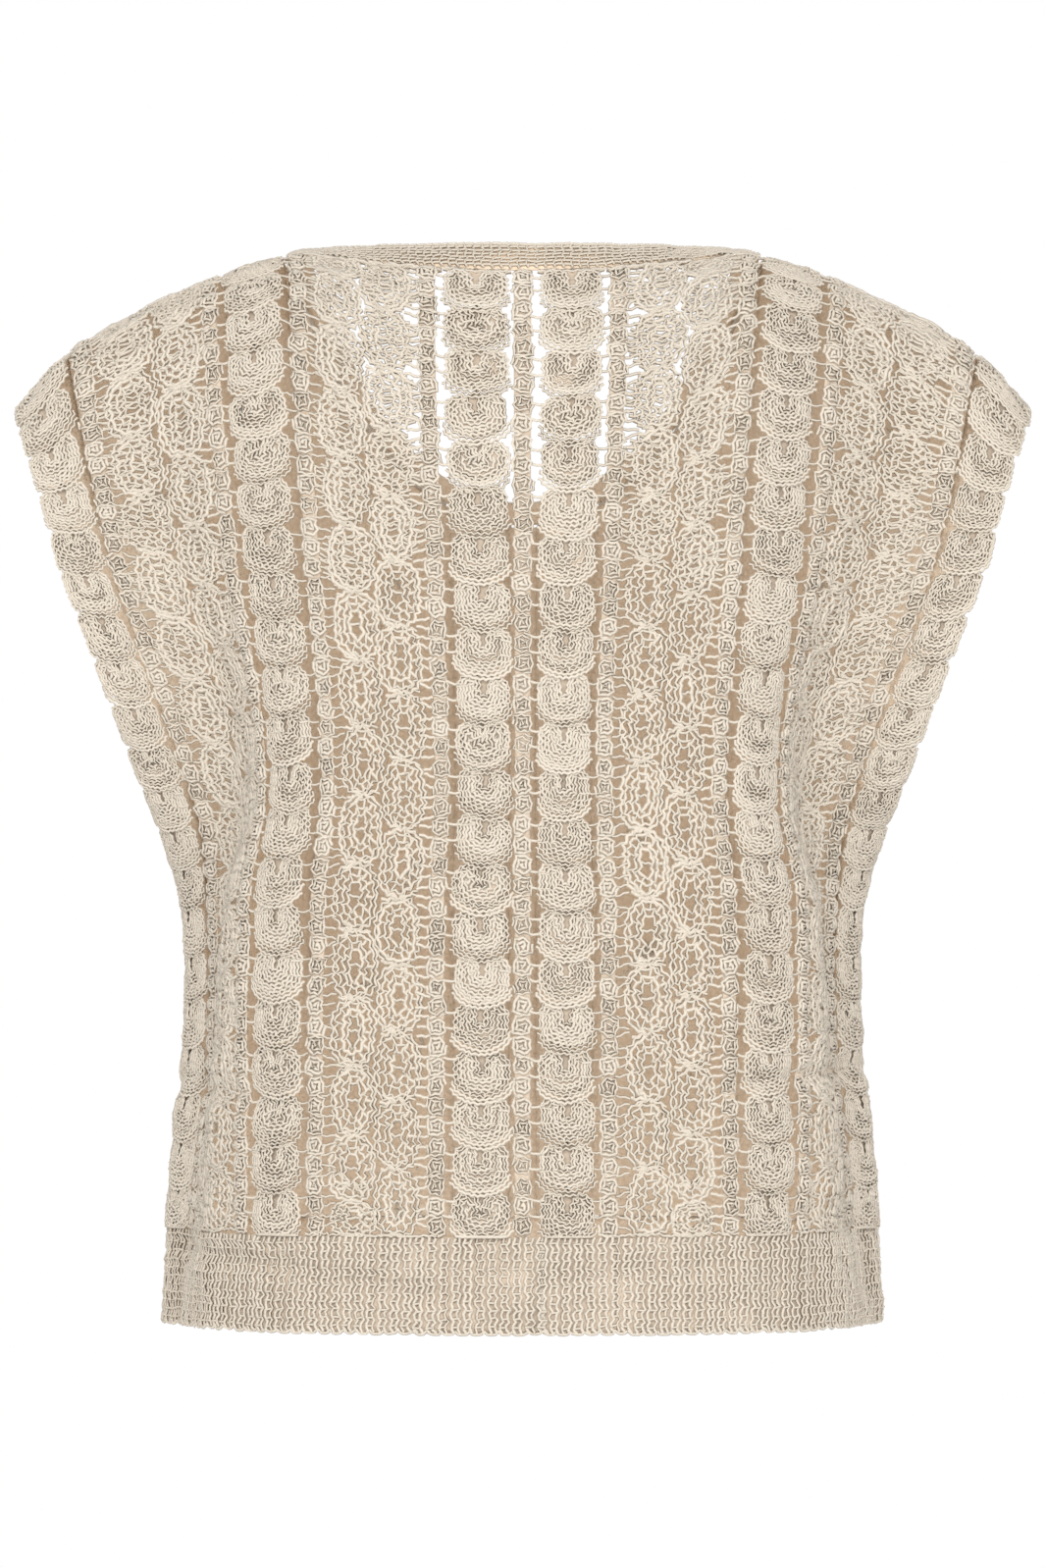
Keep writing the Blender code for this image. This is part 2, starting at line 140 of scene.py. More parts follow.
def read(table, name, at, soften=SOFTEN):
    """A column of a table at the places given, softened where its rows meet."""
    places = [row[0] for row in table]
    values = [getattr(row, name) for row in table]
    shifts = np.linspace(-soften, soften, SOFTEN_STEPS)
    return np.mean([np.interp(at + shift, places, values) for shift in shifts], axis=0)


def bezier(start, start_handle, end_handle, end, t):
    """Points on a cubic curve."""
    rest = 1 - t
    return (rest ** 3 * start + 3 * rest ** 2 * t * start_handle
            + 3 * rest * t ** 2 * end_handle + t ** 3 * end)


def running_length(line):
    """The length along a row of points, up to each of them."""
    return np.concatenate([[0], np.cumsum(np.linalg.norm(np.diff(line, axis=0), axis=1))])


def armhole_gape(height):
    """How far the edge of one side stands from the side line: nothing up to the underarm."""
    shifts = np.linspace(-SOFTEN / 2, SOFTEN / 2, SOFTEN_STEPS)
    climb = np.clip(height + shifts - UNDERARM_HEIGHT, 0, None)
    gapes = np.sin(math.pi / 2 * climb / (ARMHOLE_MIDDLE - UNDERARM_HEIGHT))
    return ARMHOLE_REACH * float(np.mean(gapes))


def beside(line):
    """Directions square to a line of flat points, all on the same side of it."""
    along = np.gradient(line, axis=0)
    out = np.stack([along[:, 1], -along[:, 0]], axis=1)
    return out / np.maximum(np.linalg.norm(out, axis=1), TINY)[:, None]


def folded(line, height, strength):
    """A level line of the cloth with its upright fold pressed in."""
    run = running_length(line)
    away = (run - run[-1] * read(SIDE_FOLD, "place", height)) / FOLD_HALF
    from_edge = (run[-1] - run) / FOLD_FADE
    trough = read(SIDE_FOLD, "depth", height) * strength
    trough = trough * np.exp(-away ** 2) * (1 - np.exp(-from_edge ** 2))
    return line + beside(line) * trough[:, None]


def level_section(height, face, sign, fold_strength):
    """One level line of the cloth, from the middle to the side edge, in equal steps."""
    half_width = read(SECTIONS, "half_width", height)
    depth = read(SECTIONS, face + "_depth", height)
    edge_reach = read(SECTIONS, "edge_reach", height)
    turn = math.radians(read(SECTIONS, "edge_turn", height))
    start = np.array((0, depth))
    start_handle = np.array((read(SECTIONS, "reach", height), depth))
    end = np.array((half_width, armhole_gape(height)))
    end_handle = end + edge_reach * np.array((-math.cos(turn), math.sin(turn)))
    line = bezier(start, start_handle, end_handle, end, np.linspace(0, 1, SECTION_POINTS)[:, None])
    line = folded(line, height, fold_strength)
    run = running_length(line)
    steps = np.linspace(0, run[-1], NET_COLUMNS + 1)
    x = np.interp(steps, run, line[:, 0])
    y = np.interp(steps, run, line[:, 1])
    return np.stack([x, sign * y, np.full_like(x, height)], axis=1)


def shoulder_points(base, sign):
    """The shoulder and neck line that the cloth rises to from the top section of the body."""
    x = base[:, 0] * SHOULDER_HALF / base[-1, 0]
    shifts = np.linspace(-NECK_CORNER, NECK_CORNER, SOFTEN_STEPS)
    bows = [np.clip(1 - ((x + shift) / NECK_HALF_X) ** 2, 0, 1) for shift in shifts]
    y = sign * NECK_HALF_DEPTH * np.mean(bows, axis=0)
    z = read(SHOULDER_LINE, "height", x, SOFTEN / 2)
    return np.stack([x, y, z], axis=1)


def half_net(face, sign, fold_strength):
    """The net of one half of one side, with its fold, as rows of levels."""
    heights = np.linspace(HEM_HEIGHT, YOKE_HEIGHT, BODY_LEVELS + 1)
    body = np.array([level_section(height, face, sign, fold_strength) for height in heights])
    base = body[-1]
    climb = base - body[-4]
    climb /= np.linalg.norm(climb, axis=1)[:, None]
    top = shoulder_points(base, sign)
    lean = np.clip(top[:, 0] / NECK_HALF_X, 0, 1) ** 2
    rise = np.radians(NECK_RISE + (SHOULDER_RISE - NECK_RISE) * lean)
    arrive = np.stack([0 * rise, -sign * np.cos(rise), np.sin(rise)], axis=1)
    far = np.linalg.norm(top - base, axis=1)[:, None]
    t = np.linspace(0, 1, YOKE_LEVELS + 1)[1:, None, None]
    yoke = bezier(base, base + climb * far * YOKE_START_REACH, top - arrive * far * YOKE_END_REACH, top, t)
    return np.concatenate([body, yoke])


def whole_net(face):
    """Points and outward directions of one side, from its left edge to its right edge."""
    sign = -1 if face == "back" else 1
    right = half_net(face, sign, FOLD_STRENGTH["right"])
    left = half_net(face, sign, FOLD_STRENGTH["left"])[:, :0:-1] * np.array((-1, 1, 1))
    net = np.concatenate([left, right], axis=1)
    direction = np.cross(np.gradient(net, axis=1), np.gradient(net, axis=0)) * -sign
    return net, direction / np.linalg.norm(direction, axis=2)[:, :, None]


CLOTH = {face: whole_net(face) for face in ("back", "front")}


def blend(table, row, column):
    """Values of a table between its rows and its columns."""
    i = row.astype(int)
    j = column.astype(int)
    p = (row - i)[..., None]
    q = (column - j)[..., None]
    return ((1 - p) * ((1 - q) * table[i, j] + q * table[i, j + 1])
            + p * ((1 - q) * table[i + 1, j] + q * table[i + 1, j + 1]))


def cloth_point(face, across, level):
    """Points of the worn cloth at a distance across and a level up, and the directions out of it."""
    across, level = np.broadcast_arrays(across, level)
    column = np.clip((across / HALF_CLOTH + 1) * NET_COLUMNS, 0, 2 * NET_COLUMNS - TINY)
    row = np.clip(level, 0, TOP_LEVEL - TINY)
    places, directions = (blend(data, row, column) for data in CLOTH[face])
    return places, directions / np.linalg.norm(directions, axis=-1, keepdims=True)


def upright_run(face, across):
    """Levels of the upright line at one place across, and the cloth length up to each of them."""
    levels = np.linspace(0, TOP_LEVEL, 4 * TOP_LEVEL + 1)
    return levels, running_length(cloth_point(face, across, levels)[0])


def level_below_top(face, across, drop):
    """The level that lies a length of cloth below the shoulder and neck line."""
    levels, run = upright_run(face, across)
    return float(np.interp(run[-1] - drop, run, levels))


def strip_top(face, across):
    """The level where the strips end: at the neck band within the neck, else at the shoulder seam."""
    part = abs(across) / (NECK_HALF + SEAM)
    if part >= 1:
        return level_below_top(face, across, SEAM / 2)
    bow = math.sqrt(1 - part ** 2)
    if face == "front":
        return level_below_top(face, across, FRONT_NECK_DROP * bow)
    return level_below_top(face, across, BACK_BAND_END + (BACK_BAND_MIDDLE - BACK_BAND_END) * bow)


MM = 0.001
FLAT_UNIT = 0.5
PATCH_MARGIN = 0.008
PATCH_CELL = 0.003
STRIP_STATIONS = 17

Crease = namedtuple("Crease", "start_x start_z end_x end_z depth half_width")
CREASES = {
    "back": (
        Crease(-0.152, -0.478, -0.055, -0.492, 0.0028, 0.0050),
        Crease(-0.166, -0.398, -0.120, -0.406, 0.0030, 0.0060),
        Crease(0.106, -0.398, 0.160, -0.392, 0.0034, 0.0050),
        Crease(0.120, -0.452, 0.165, -0.470, 0.0026, 0.0070),
        Crease(-0.045, -0.505, 0.010, -0.497, -0.0016, 0.0060),
        Crease(0.020, -0.486, 0.085, -0.480, 0.0020, 0.0060),
        Crease(-0.120, -0.330, -0.060, -0.350, 0.0018, 0.0110),
        Crease(0.060, -0.300, 0.118, -0.325, 0.0018, 0.0100),
    ),
    "front": (
        Crease(-0.150, -0.484, -0.080, -0.474, 0.0026, 0.0055),
        Crease(0.050, -0.492, 0.140, -0.480, 0.0024, 0.0060),
        Crease(-0.165, -0.405, -0.118, -0.396, 0.0030, 0.0060),
        Crease(0.112, -0.388, 0.162, -0.400, 0.0028, 0.0065),
        Crease(-0.030, -0.478, 0.025, -0.486, -0.0015, 0.0070),
        Crease(-0.105, -0.320, -0.050, -0.345, 0.0020, 0.0110),
        Crease(0.055, -0.345, 0.110, -0.315, 0.0018, 0.0100),
    ),
}
CREASE_END = 0.018


def creased(face, points):
    """How far the worn cloth lies out of its smooth shape: the listed soft troughs and ridges."""
    lift = np.zeros(points.shape[:-1])
    for crease in CREASES[face]:
        start = np.array((crease.start_x, crease.start_z))
        way = np.array((crease.end_x, crease.end_z)) - start
        long = np.linalg.norm(way)
        from_start = points[..., ::2] - start
        along = from_start @ way / long
        away = (from_start[..., 1] * way[0] - from_start[..., 0] * way[1]) / long
        past_end = np.maximum(0, np.maximum(-along, along - long))
        lift -= crease.depth * np.exp(-(away / crease.half_width) ** 2 - (past_end / CREASE_END) ** 2)
    return lift


class Flat:
    """A piece laid flat, by its width across the garment and its length up, and how it is worn."""

    def __init__(self, name, face, low, high, to_cloth):
        self.name = name
        self.face = face
        self.low = low
        self.high = high
        self.to_cloth = to_cloth

    def worn(self, width, length, lift=0.0):
        """Worn points of flat places, lifted out of the cloth, and the directions out of it."""
        points, directions = cloth_point(self.face, *self.to_cloth(width, length))
        lift = creased(self.face, points) + lift
        return points + directions * lift[..., None], directions

    def patch(self):
        """A mesh of the worn piece that keeps each point's flat place and its direction out."""
        widths = grid_steps(self.low[0] - PATCH_MARGIN, self.high[0] + PATCH_MARGIN, PATCH_CELL)
        lengths = grid_steps(self.low[1] - PATCH_MARGIN, self.high[1] + PATCH_MARGIN, PATCH_CELL)
        width, length = np.meshgrid(widths, lengths)
        points, directions = self.worn(width, length)
        mesh = grid_mesh(self.name + "_patch", points)
        corners = np.array([loop.vertex_index for loop in mesh.loops])
        flat = np.stack([width, length], axis=-1).reshape(-1, 2) / FLAT_UNIT
        mesh.uv_layers.new(name="flat").data.foreach_set("uv", flat[corners].ravel())
        out = mesh.attributes.new("out", "FLOAT_VECTOR", "POINT")
        out.data.foreach_set("vector", directions.reshape(-1, 3).ravel())
        return put(mesh.name, mesh)


def put(name, data):
    """A new object in the scene that shows a mesh, a light or what a camera sees."""
    placed = bpy.data.objects.new(name, data)
    bpy.context.scene.collection.objects.link(placed)
    return placed


def grid_steps(start, end, step):
    """Even places from start to end, about a step apart."""
    return np.linspace(start, end, max(2, round((end - start) / step) + 1))


def grid_mesh(name, points, flip=False):
    """A mesh of quads over a grid of points."""
    rows, columns = points.shape[:2]
    index = np.arange(rows * columns).reshape(rows, columns)
    corners = [index[:-1, :-1], index[:-1, 1:], index[1:, 1:], index[1:, :-1]]
    faces = np.stack(corners[::-1] if flip else corners, axis=-1).reshape(-1, 4)
    mesh = bpy.data.meshes.new(name)
    mesh.from_pydata(points.reshape(-1, 3).tolist(), [], faces.tolist())
    mesh.shade_smooth()
    return mesh


def strip_flat(name, face, side, inner, outer):
    """The flat measures of an upright strip, whose top follows the neck band or the shoulder."""
    levels, run = upright_run(face, (inner + outer) / 2 * side)
    top = strip_top(face, (inner + outer) / 2 * side)
    run = run - np.interp((HEM_TOP + SEAM / 2 - HEM_HEIGHT) / LEVEL, levels, run)
    length = float(np.interp(top, levels, run))
    places = np.linspace(inner - PATCH_MARGIN, outer + PATCH_MARGIN, STRIP_STATIONS)
    tops = np.array([strip_top(face, place * side) for place in places])

    def to_cloth(width, up):
        climb = np.clip(up / length, 0, 1) ** TOP_SLOPE_POWER
        slope = np.interp(width * side, places, tops) - top
        return width, np.interp(up, run, levels) + slope * climb

    low, high = sorted((inner * side, outer * side))
    return Flat(name, face, (low, 0), (high, length), to_cloth)


class Value:
    """One output of a node. Sums and products of values add their Math nodes."""

    def __init__(self, nodes, socket):
        self.nodes = nodes
        self.socket = socket

    def math(self, operation, first, second=0.0):
        return self.nodes.add("ShaderNodeMath", {"operation": operation}, {0: first, 1: second})

    def __add__(self, other):
        return self.math("ADD", self, other)

    def __radd__(self, other):
        return self.math("ADD", other, self)

    def __rsub__(self, other):
        return self.math("SUBTRACT", other, self)

    def __mul__(self, other):
        return self.math("MULTIPLY", self, other)

    def __truediv__(self, other):
        return self.math("DIVIDE", self, other)


class Nodes:
    """A node tree that is being put together."""

    def __init__(self, tree):
        self.tree = tree

    def add(self, kind, settings=None, inputs=None, output=0):
        """A node with its settings, then the values or links of its sockets. Gives one output."""
        node = self.tree.nodes.new(kind)
        for name, setting in (settings or {}).items():
            setattr(node, name, setting)
        for socket, value in (inputs or {}).items():
            if isinstance(value, Value):
                self.tree.links.new(value.socket, node.inputs[socket])
            else:
                node.inputs[socket].default_value = value
        return Value(self, node.outputs[output]) if len(node.outputs) else node

    def vector(self, operation, first, second):
        """A Vector Math node: two vectors, or a vector and its scale."""
        second_socket = 3 if operation == "SCALE" else 1
        return self.add("ShaderNodeVectorMath", {"operation": operation}, {0: first, second_socket: second})

    def parts(self, vector):
        """The x, y and z of a vector."""
        split = self.add("ShaderNodeSeparateXYZ", None, {0: vector}).socket.node
        return [Value(self, output) for output in split.outputs]


def yarn_tree():
    """Lays motifs at their places on the flat cloth, wraps them on the worn cloth and sweeps the yarn."""
    tree = bpy.data.node_groups.new("laid_yarn", "GeometryNodeTree")
    wanted = {
        "Places": "Geometry", "Motifs": "Collection", "Cloth": "Object", "Cotton": "Material",
        "Yarn radius": "Float", "Yarn sides": "Int", "Unevenness": "Float", "Seed": "Float",
        "Lowest": "Float", "Highest": "Float",
    }
    for label, kind in wanted.items():
        tree.interface.new_socket(label, in_out="INPUT", socket_type="NodeSocket" + kind)
    tree.interface.new_socket("Yarn", in_out="OUTPUT", socket_type="NodeSocketGeometry")
    nodes = Nodes(tree)
    group = tree.nodes.new("NodeGroupInput")
    given = {label: Value(nodes, group.outputs[label]) for label in wanted}

    def attribute(name, kind):
        return nodes.add("GeometryNodeInputNamedAttribute", {"data_type": kind}, {"Name": name})

    motifs = nodes.add("GeometryNodeCollectionInfo", None,
                       {"Collection": given["Motifs"], "Separate Children": True, "Reset Children": True})
    turn = nodes.add("FunctionNodeAxisAngleToRotation", None,
                     {"Axis": (0, 0, 1), "Angle": attribute("turn", "FLOAT")})
    laid = nodes.add("GeometryNodeInstanceOnPoints", None, {
        "Points": given["Places"], "Instance": motifs, "Pick Instance": True,
        "Instance Index": attribute("motif", "INT"), "Rotation": turn,
        "Scale": attribute("size", "FLOAT_VECTOR")})
    laid = nodes.add("GeometryNodeRealizeInstances", None, {"Geometry": laid})

    place = nodes.add("GeometryNodeInputPosition")
    shift = None
    for scale, share in ((FINE_NOISE, 1.0), (COARSE_NOISE, COARSE_SHARE)):
        noise = nodes.add("ShaderNodeTexNoise", {"noise_dimensions": "4D"},
                          {"Vector": place, "W": given["Seed"], "Scale": scale, "Detail": 1.0}, "Color")
        noise = nodes.vector("SUBTRACT", noise, (0.5, 0.5, 0.5))
        noise = nodes.vector("SCALE", noise, given["Unevenness"] * share)
        shift = noise if shift is None else nodes.vector("ADD", shift, noise)
    width, length, lift = nodes.parts(nodes.vector("ADD", place, shift))
    length = length.math("MAXIMUM", length, given["Lowest"])
    length = length.math("MINIMUM", length, given["Highest"])
    flat = nodes.add("ShaderNodeCombineXYZ", None, {0: width / FLAT_UNIT, 1: length / FLAT_UNIT})
    cloth = nodes.add("GeometryNodeObjectInfo", None, {"Object": given["Cloth"]}, "Geometry")

    def on_cloth(value):
        return nodes.add("GeometryNodeSampleUVSurface", {"data_type": "FLOAT_VECTOR"}, {
            "Mesh": cloth, "Value": value, "UV Map": attribute("flat", "FLOAT_VECTOR"), "Sample UV": flat})

    ground = on_cloth(nodes.add("GeometryNodeInputPosition"))
    out = on_cloth(attribute("out", "FLOAT_VECTOR"))
    worn = nodes.vector("ADD", ground, nodes.vector("SCALE", out, lift))
    laid = nodes.add("GeometryNodeSetPosition", None, {"Geometry": laid, "Position": worn})

    line = nodes.add("GeometryNodeMeshToCurve", None, {"Mesh": laid})
    run = nodes.add("GeometryNodeSplineParameter", None, None, "Length")
    line = nodes.add("GeometryNodeStoreNamedAttribute", {"data_type": "FLOAT", "domain": "POINT"},
                     {"Geometry": line, "Name": "along", "Value": run})
    ring = nodes.add("GeometryNodeCurvePrimitiveCircle", {"mode": "RADIUS"},
                     {"Resolution": given["Yarn sides"], "Radius": given["Yarn radius"]})
    ring_place = nodes.vector("NORMALIZE", nodes.add("GeometryNodeInputPosition"), (0, 0, 0))
    ring = nodes.add("GeometryNodeStoreNamedAttribute", {"data_type": "FLOAT_VECTOR", "domain": "POINT"},
                     {"Geometry": ring, "Name": "round", "Value": ring_place})
    yarn = nodes.add("GeometryNodeCurveToMesh", None, {
        "Curve": line, "Profile Curve": ring, "Scale": attribute("thick", "FLOAT"), "Fill Caps": True})
    yarn = nodes.add("GeometryNodeSetShadeSmooth", None, {"Geometry": yarn})
    yarn = nodes.add("GeometryNodeRealizeInstances", None, {"Geometry": yarn})
    yarn = nodes.add("GeometryNodeSetMaterial", None, {"Geometry": yarn, "Material": given["Cotton"]})
    end = tree.nodes.new("NodeGroupOutput")
    tree.links.new(yarn.socket, end.inputs[0])
    return tree


FINE_NOISE = 260.0
COARSE_NOISE = 60.0
COARSE_SHARE = 1.4
YARN_TREE = yarn_tree()
YARN_RADIUS = 0.00086
YARN_SIDES = 3
UNEVENNESS = 0.0017


def evenly(points, step, closed=False):
    """Points along a path, about a step apart."""
    points = np.asarray(points, float)
    if closed:
        points = np.concatenate([points, points[:1]])
    run = running_length(points)
    count = max(2, round(run[-1] / step))
    at = np.linspace(0, run[-1], count + 1)
    if closed:
        at = at[:-1]
    return np.stack([np.interp(at, run, points[:, k]) for k in range(points.shape[1])], axis=1)


def smooth_path(points, parts=8):
    """A smooth curve through a few points."""
    points = np.asarray(points, float)
    around = np.concatenate([2 * points[:1] - points[1:2], points, 2 * points[-1:] - points[-2:-1]])
    t = np.linspace(0, 1, parts, endpoint=False)[:, None]
    pieces = []
    for a, b, c, d in zip(around, around[1:], around[2:], around[3:]):
        pieces.append(0.5 * (2 * b + (c - a) * t + (2 * a - 5 * b + 4 * c - d) * t ** 2
                             + (3 * b - a - 3 * c + d) * t ** 3))
    return np.concatenate(pieces + [points[-1:]])


Path = namedtuple("Path", "points closed thick")


def make_motif(collection, name, paths):
    """A motif of yarn paths, drawn flat in millimetres, for the yarn tree to lay."""
    vertices = []
    edges = []
    thick = []
    for path in paths:
        first = len(vertices)
        count = len(path.points)
        vertices += (np.asarray(path.points) * MM).tolist()
        edges += [(first + k, first + (k + 1) % count) for k in range(count if path.closed else count - 1)]
        thick += [path.thick] * count
    mesh = bpy.data.meshes.new(name)
    mesh.from_pydata(vertices, edges, [])
    mesh.attributes.new("thick", "FLOAT", "POINT").data.foreach_set("value", thick)
    collection.objects.link(bpy.data.objects.new(name, mesh))


def motif_collection(name):
    """A collection that holds the motifs of one kind of strip."""
    collection = bpy.data.collections.new(name)
    bpy.context.scene.collection.children.link(collection)
    return collection


Place = namedtuple("Place", "width length motif turn wide tall lift", defaults=(0, 1, 1, 0))
LAID_ONLY = ("thick", "motif", "turn", "size")


def lay_yarn(name, flat, motifs, places, seed, radius=YARN_RADIUS, unevenness=UNEVENNESS):
    """A worn piece of yarn: motifs laid at their places on the flat cloth."""
    mesh = bpy.data.meshes.new(name + "_places")
    mesh.from_pydata([(place.width, place.length, place.lift) for place in places], [], [])
    for label, kind in (("motif", "INT"), ("turn", "FLOAT")):
        values = [getattr(place, label) for place in places]
        mesh.attributes.new(label, kind, "POINT").data.foreach_set("value", values)
    sizes = [size for place in places for size in (place.wide, place.tall, 1)]
    mesh.attributes.new("size", "FLOAT_VECTOR", "POINT").data.foreach_set("vector", sizes)
    source = put(mesh.name, mesh)
    patch = flat.patch()
    modifier = source.modifiers.new("yarn", "NODES")
    modifier.node_group = YARN_TREE
    values = {
        "Motifs": motifs, "Cloth": patch, "Cotton": YARN_COTTON, "Yarn radius": radius,
        "Yarn sides": YARN_SIDES, "Unevenness": unevenness, "Seed": float(seed),
        "Lowest": flat.low[1], "Highest": flat.high[1],
    }
    for item in YARN_TREE.interface.items_tree:
        if item.name in values:
            modifier[item.identifier] = values[item.name]
    source.update_tag()
    graph = bpy.context.evaluated_depsgraph_get()
    worn = bpy.data.meshes.new_from_object(source.evaluated_get(graph), preserve_all_data_layers=True,
                                           depsgraph=graph)
    for extra in LAID_ONLY:
        if extra in worn.attributes:
            worn.attributes.remove(worn.attributes[extra])
    source.modifiers.remove(modifier)
    bpy.data.objects.remove(source)
    bpy.data.objects.remove(patch)
    worn.name = name
    return put(name, worn)


MIX_FIRST, MIX_SECOND, MIX_RESULT = 6, 7, 2


def cotton(name, light, dark, roughness, bump, depth, surface):
    """Matt cotton. Its surface gives a shade between dark and light, and a height, at each place."""
    material = bpy.data.materials.new(name)
    material.use_nodes = True
    nodes = Nodes(material.node_tree)
    shader = material.node_tree.nodes["Principled BSDF"]
    shade, height = surface(nodes, nodes.add("ShaderNodeTexCoord", None, None, "Object"))
    colour = nodes.add("ShaderNodeMix", {"data_type": "RGBA"},
                       {0: shade, MIX_FIRST: (*dark, 1), MIX_SECOND: (*light, 1)}, MIX_RESULT)
    material.node_tree.links.new(colour.socket, shader.inputs["Base Color"])
    normal = nodes.add("ShaderNodeBump", None, {"Strength": bump, "Distance": depth, "Height": height})
    material.node_tree.links.new(normal.socket, shader.inputs["Normal"])
    shader.inputs["Roughness"].default_value = roughness
    return material


def plies(nodes, place):
    """The yarn's surface: winding plies with painted shade in their grooves, and a tone that changes from
    place to place.
    """
    along = nodes.add("ShaderNodeAttribute", {"attribute_name": "along"}, None, "Fac")
    around = nodes.parts(nodes.add("ShaderNodeAttribute", {"attribute_name": "round"}, None, "Vector"))
    angle = along * (2 * math.pi / YARN_TWIST)
    ply = angle.math("SINE", angle) * around[0] + angle.math("COSINE", angle) * around[1]
    fuzz = nodes.add("ShaderNodeTexNoise", None, {"Vector": place, "Scale": 1500.0, "Detail": 2.0})
    patches = nodes.add("ShaderNodeTexNoise", None, {"Vector": place, "Scale": 45.0, "Detail": 3.0})
    # The ply term darkens the colour where the height dips: painted shade in the grooves between the plies.
    return (0.5 + ply * 0.5) * 0.5 + fuzz * 0.2 + patches * 0.3, ply * 0.5 + fuzz * 0.4


def close_stitches(nodes, place):
    """The surface of close crochet: small round stitches, with painted shade in the dips between them, and a
    little fuzz.
    """
    stitch = nodes.add("ShaderNodeTexVoronoi", None, {"Vector": place, "Scale": 420.0}, "Distance")
    fuzz = nodes.add("ShaderNodeTexNoise", None, {"Vector": place, "Scale": 900.0, "Detail": 2.0})
    # The stitch distance darkens the colour where the height dips: painted shade between the stitches.
    return 0.9 - stitch * 0.9 + fuzz * 0.3, 1 - stitch


# The yarn, then the close ground behind it in two copies of one cotton: a warm lighter copy, painted light,
# for its inside, and a darker copy, painted shade, for its outside, where the rows of yarn stand over it.
YARN_TWIST = 0.0026
YARN_COTTON = cotton("cotton_yarn", (0.60, 0.54, 0.457), (0.56, 0.495, 0.41), 0.9, 0.4, 0.0003, plies)
GROUND_FINISH = (0.95, 0.8, 0.0008, close_stitches)
# Painted light: a lighter copy of the ground's cotton, for its inside, where the ground lies in shade.
PAINTED_LIGHT_COTTON = cotton("cotton_ground", (0.80, 0.655, 0.50), (0.68, 0.54, 0.395), *GROUND_FINISH)
# Painted shade: a darker copy of the ground's cotton, for its outside under the rows of yarn.
PAINTED_SHADE_COTTON = cotton("shaded_cotton", (0.57, 0.475, 0.375), (0.47, 0.38, 0.29), *GROUND_FINISH)

# One shell, in millimetres: its rows lie at even distances round a bent core with an arm in each lobe.
SHELL_TALL = 22.3
SHELL_HALF = 13.1
SHELL_CORES = {
    "a_even": ((-7.5, 15.4), (-6.9, 8.0), (0, 5.8), (6.9, 8.0), (7.5, 15.4)),
    "b_leaning": ((-7.1, 16.2), (-6.8, 8.6), (0.8, 5.6), (7.1, 7.6), (7.7, 14.6)),
    "c_curled": ((-6.0, 12.6), (-6.9, 15.6), (-8.3, 13.4), (-6.9, 7.9), (-0.4, 5.7), (6.9, 8.2), (8.3, 13.8),
                 (6.9, 15.8), (6.1, 12.8)),
}
SHELL_ROWS = (0.9, 2.5, 4.1, 5.6)
RimRow = namedtuple("RimRow", "distance highest")
RIM_ROWS = (RimRow(7.2, 7.5), RimRow(9.0, 4.0))
CORE_STEP = 0.25
ROUND_END = 24
ROW_LIFT = 1.1
CROWN = 1.6
CROWN_HALF = 14.5
TUCK_START = 6
TUCK_RUN = 16
TUCK_SHARE = 0.65
STITCH_STEP = {"back": 1.6, "front": 2.6}
STITCH_SIZE = 0.45
POST_SPACING = 7.0
POST_LIFT = 0.45
POST_THICK = 0.8
BRIDGE = ((-1.4, 0.0, 1.5), (0.6, -0.5, 1.3), (2.6, -0.6, 1.2), (4.4, -0.1, 1.3), (5.6, 0.3, 1.5))
BRIDGE_PLACES = (10.0, 17.4)
BRIDGE_THICK = 0.85
EDGE_LIFT = 1.3
EDGE_WAVE = 0.45
EDGE_STEP = 1.9
EDGE_INSET = 0.0008
SEAM_LIFT = -0.0011
SEAM_THICK = 1.6
SEAM_SHARE = 1.12
YARN_HALF = 0.0008
GROUND_WALL = 0.0005
GROUND_ROWS = 8
GROUND_COLUMNS = 5
GROUND_INSET = 1.0
CLOSED_INSET = 0.0003
UNDER_ROWS = 0.9
NOTCH_FOOT = 10.0
NOTCH_DEPTH = 0.0012
SHELL_SHIFT = 0.0006
SHELL_TURN = 0.05
SHELL_WIDTHS = (0.97, 1.02)

ShellColumn = namedtuple("ShellColumn", "name inner outer centre half bridges")
INNER_COLUMN = {
    "left": ShellColumn("shell_inner", 0.0057, 0.0363, 0.0203, 0.0141, (1,)),
    "right": ShellColumn("shell_inner", 0.0057, 0.0363, 0.0216, 0.0136, (-1, 1)),
}
SIDE_COLUMNS = (
    ShellColumn("shell_middle", 0.1097, 0.1415, 0.1256, 0.0138, (-1, 1)),
    ShellColumn("shell_outer", 0.2180, 0.2418, 0.2299, 0.0121, ()),
)


def with_lift(points, lift):
    """Flat points with their lift."""
    return np.concatenate([points, np.broadcast_to(lift, (len(points),))[:, None]], axis=1)


def on_shell(points):
    """Flat points of a shell with their lift: crowned across, and tucked under the shell above."""
    across = 1 - np.minimum(np.abs(points[:, 0] / CROWN_HALF), 1) ** 3
    up = 1 - TUCK_SHARE * np.clip((points[:, 1] - TUCK_START) / TUCK_RUN, 0, 1) ** 1.5
    return with_lift(points, ROW_LIFT + CROWN * across * up)


def zigzag(points, size):
    """A number for each point, up and down by turns."""
    return size * (-1) ** np.arange(len(points))


def wobbled(points):
    """A row of flat points with every second one a little out of line, as stitches are."""
    return points + beside(points) * zigzag(points, STITCH_SIZE)[:, None]


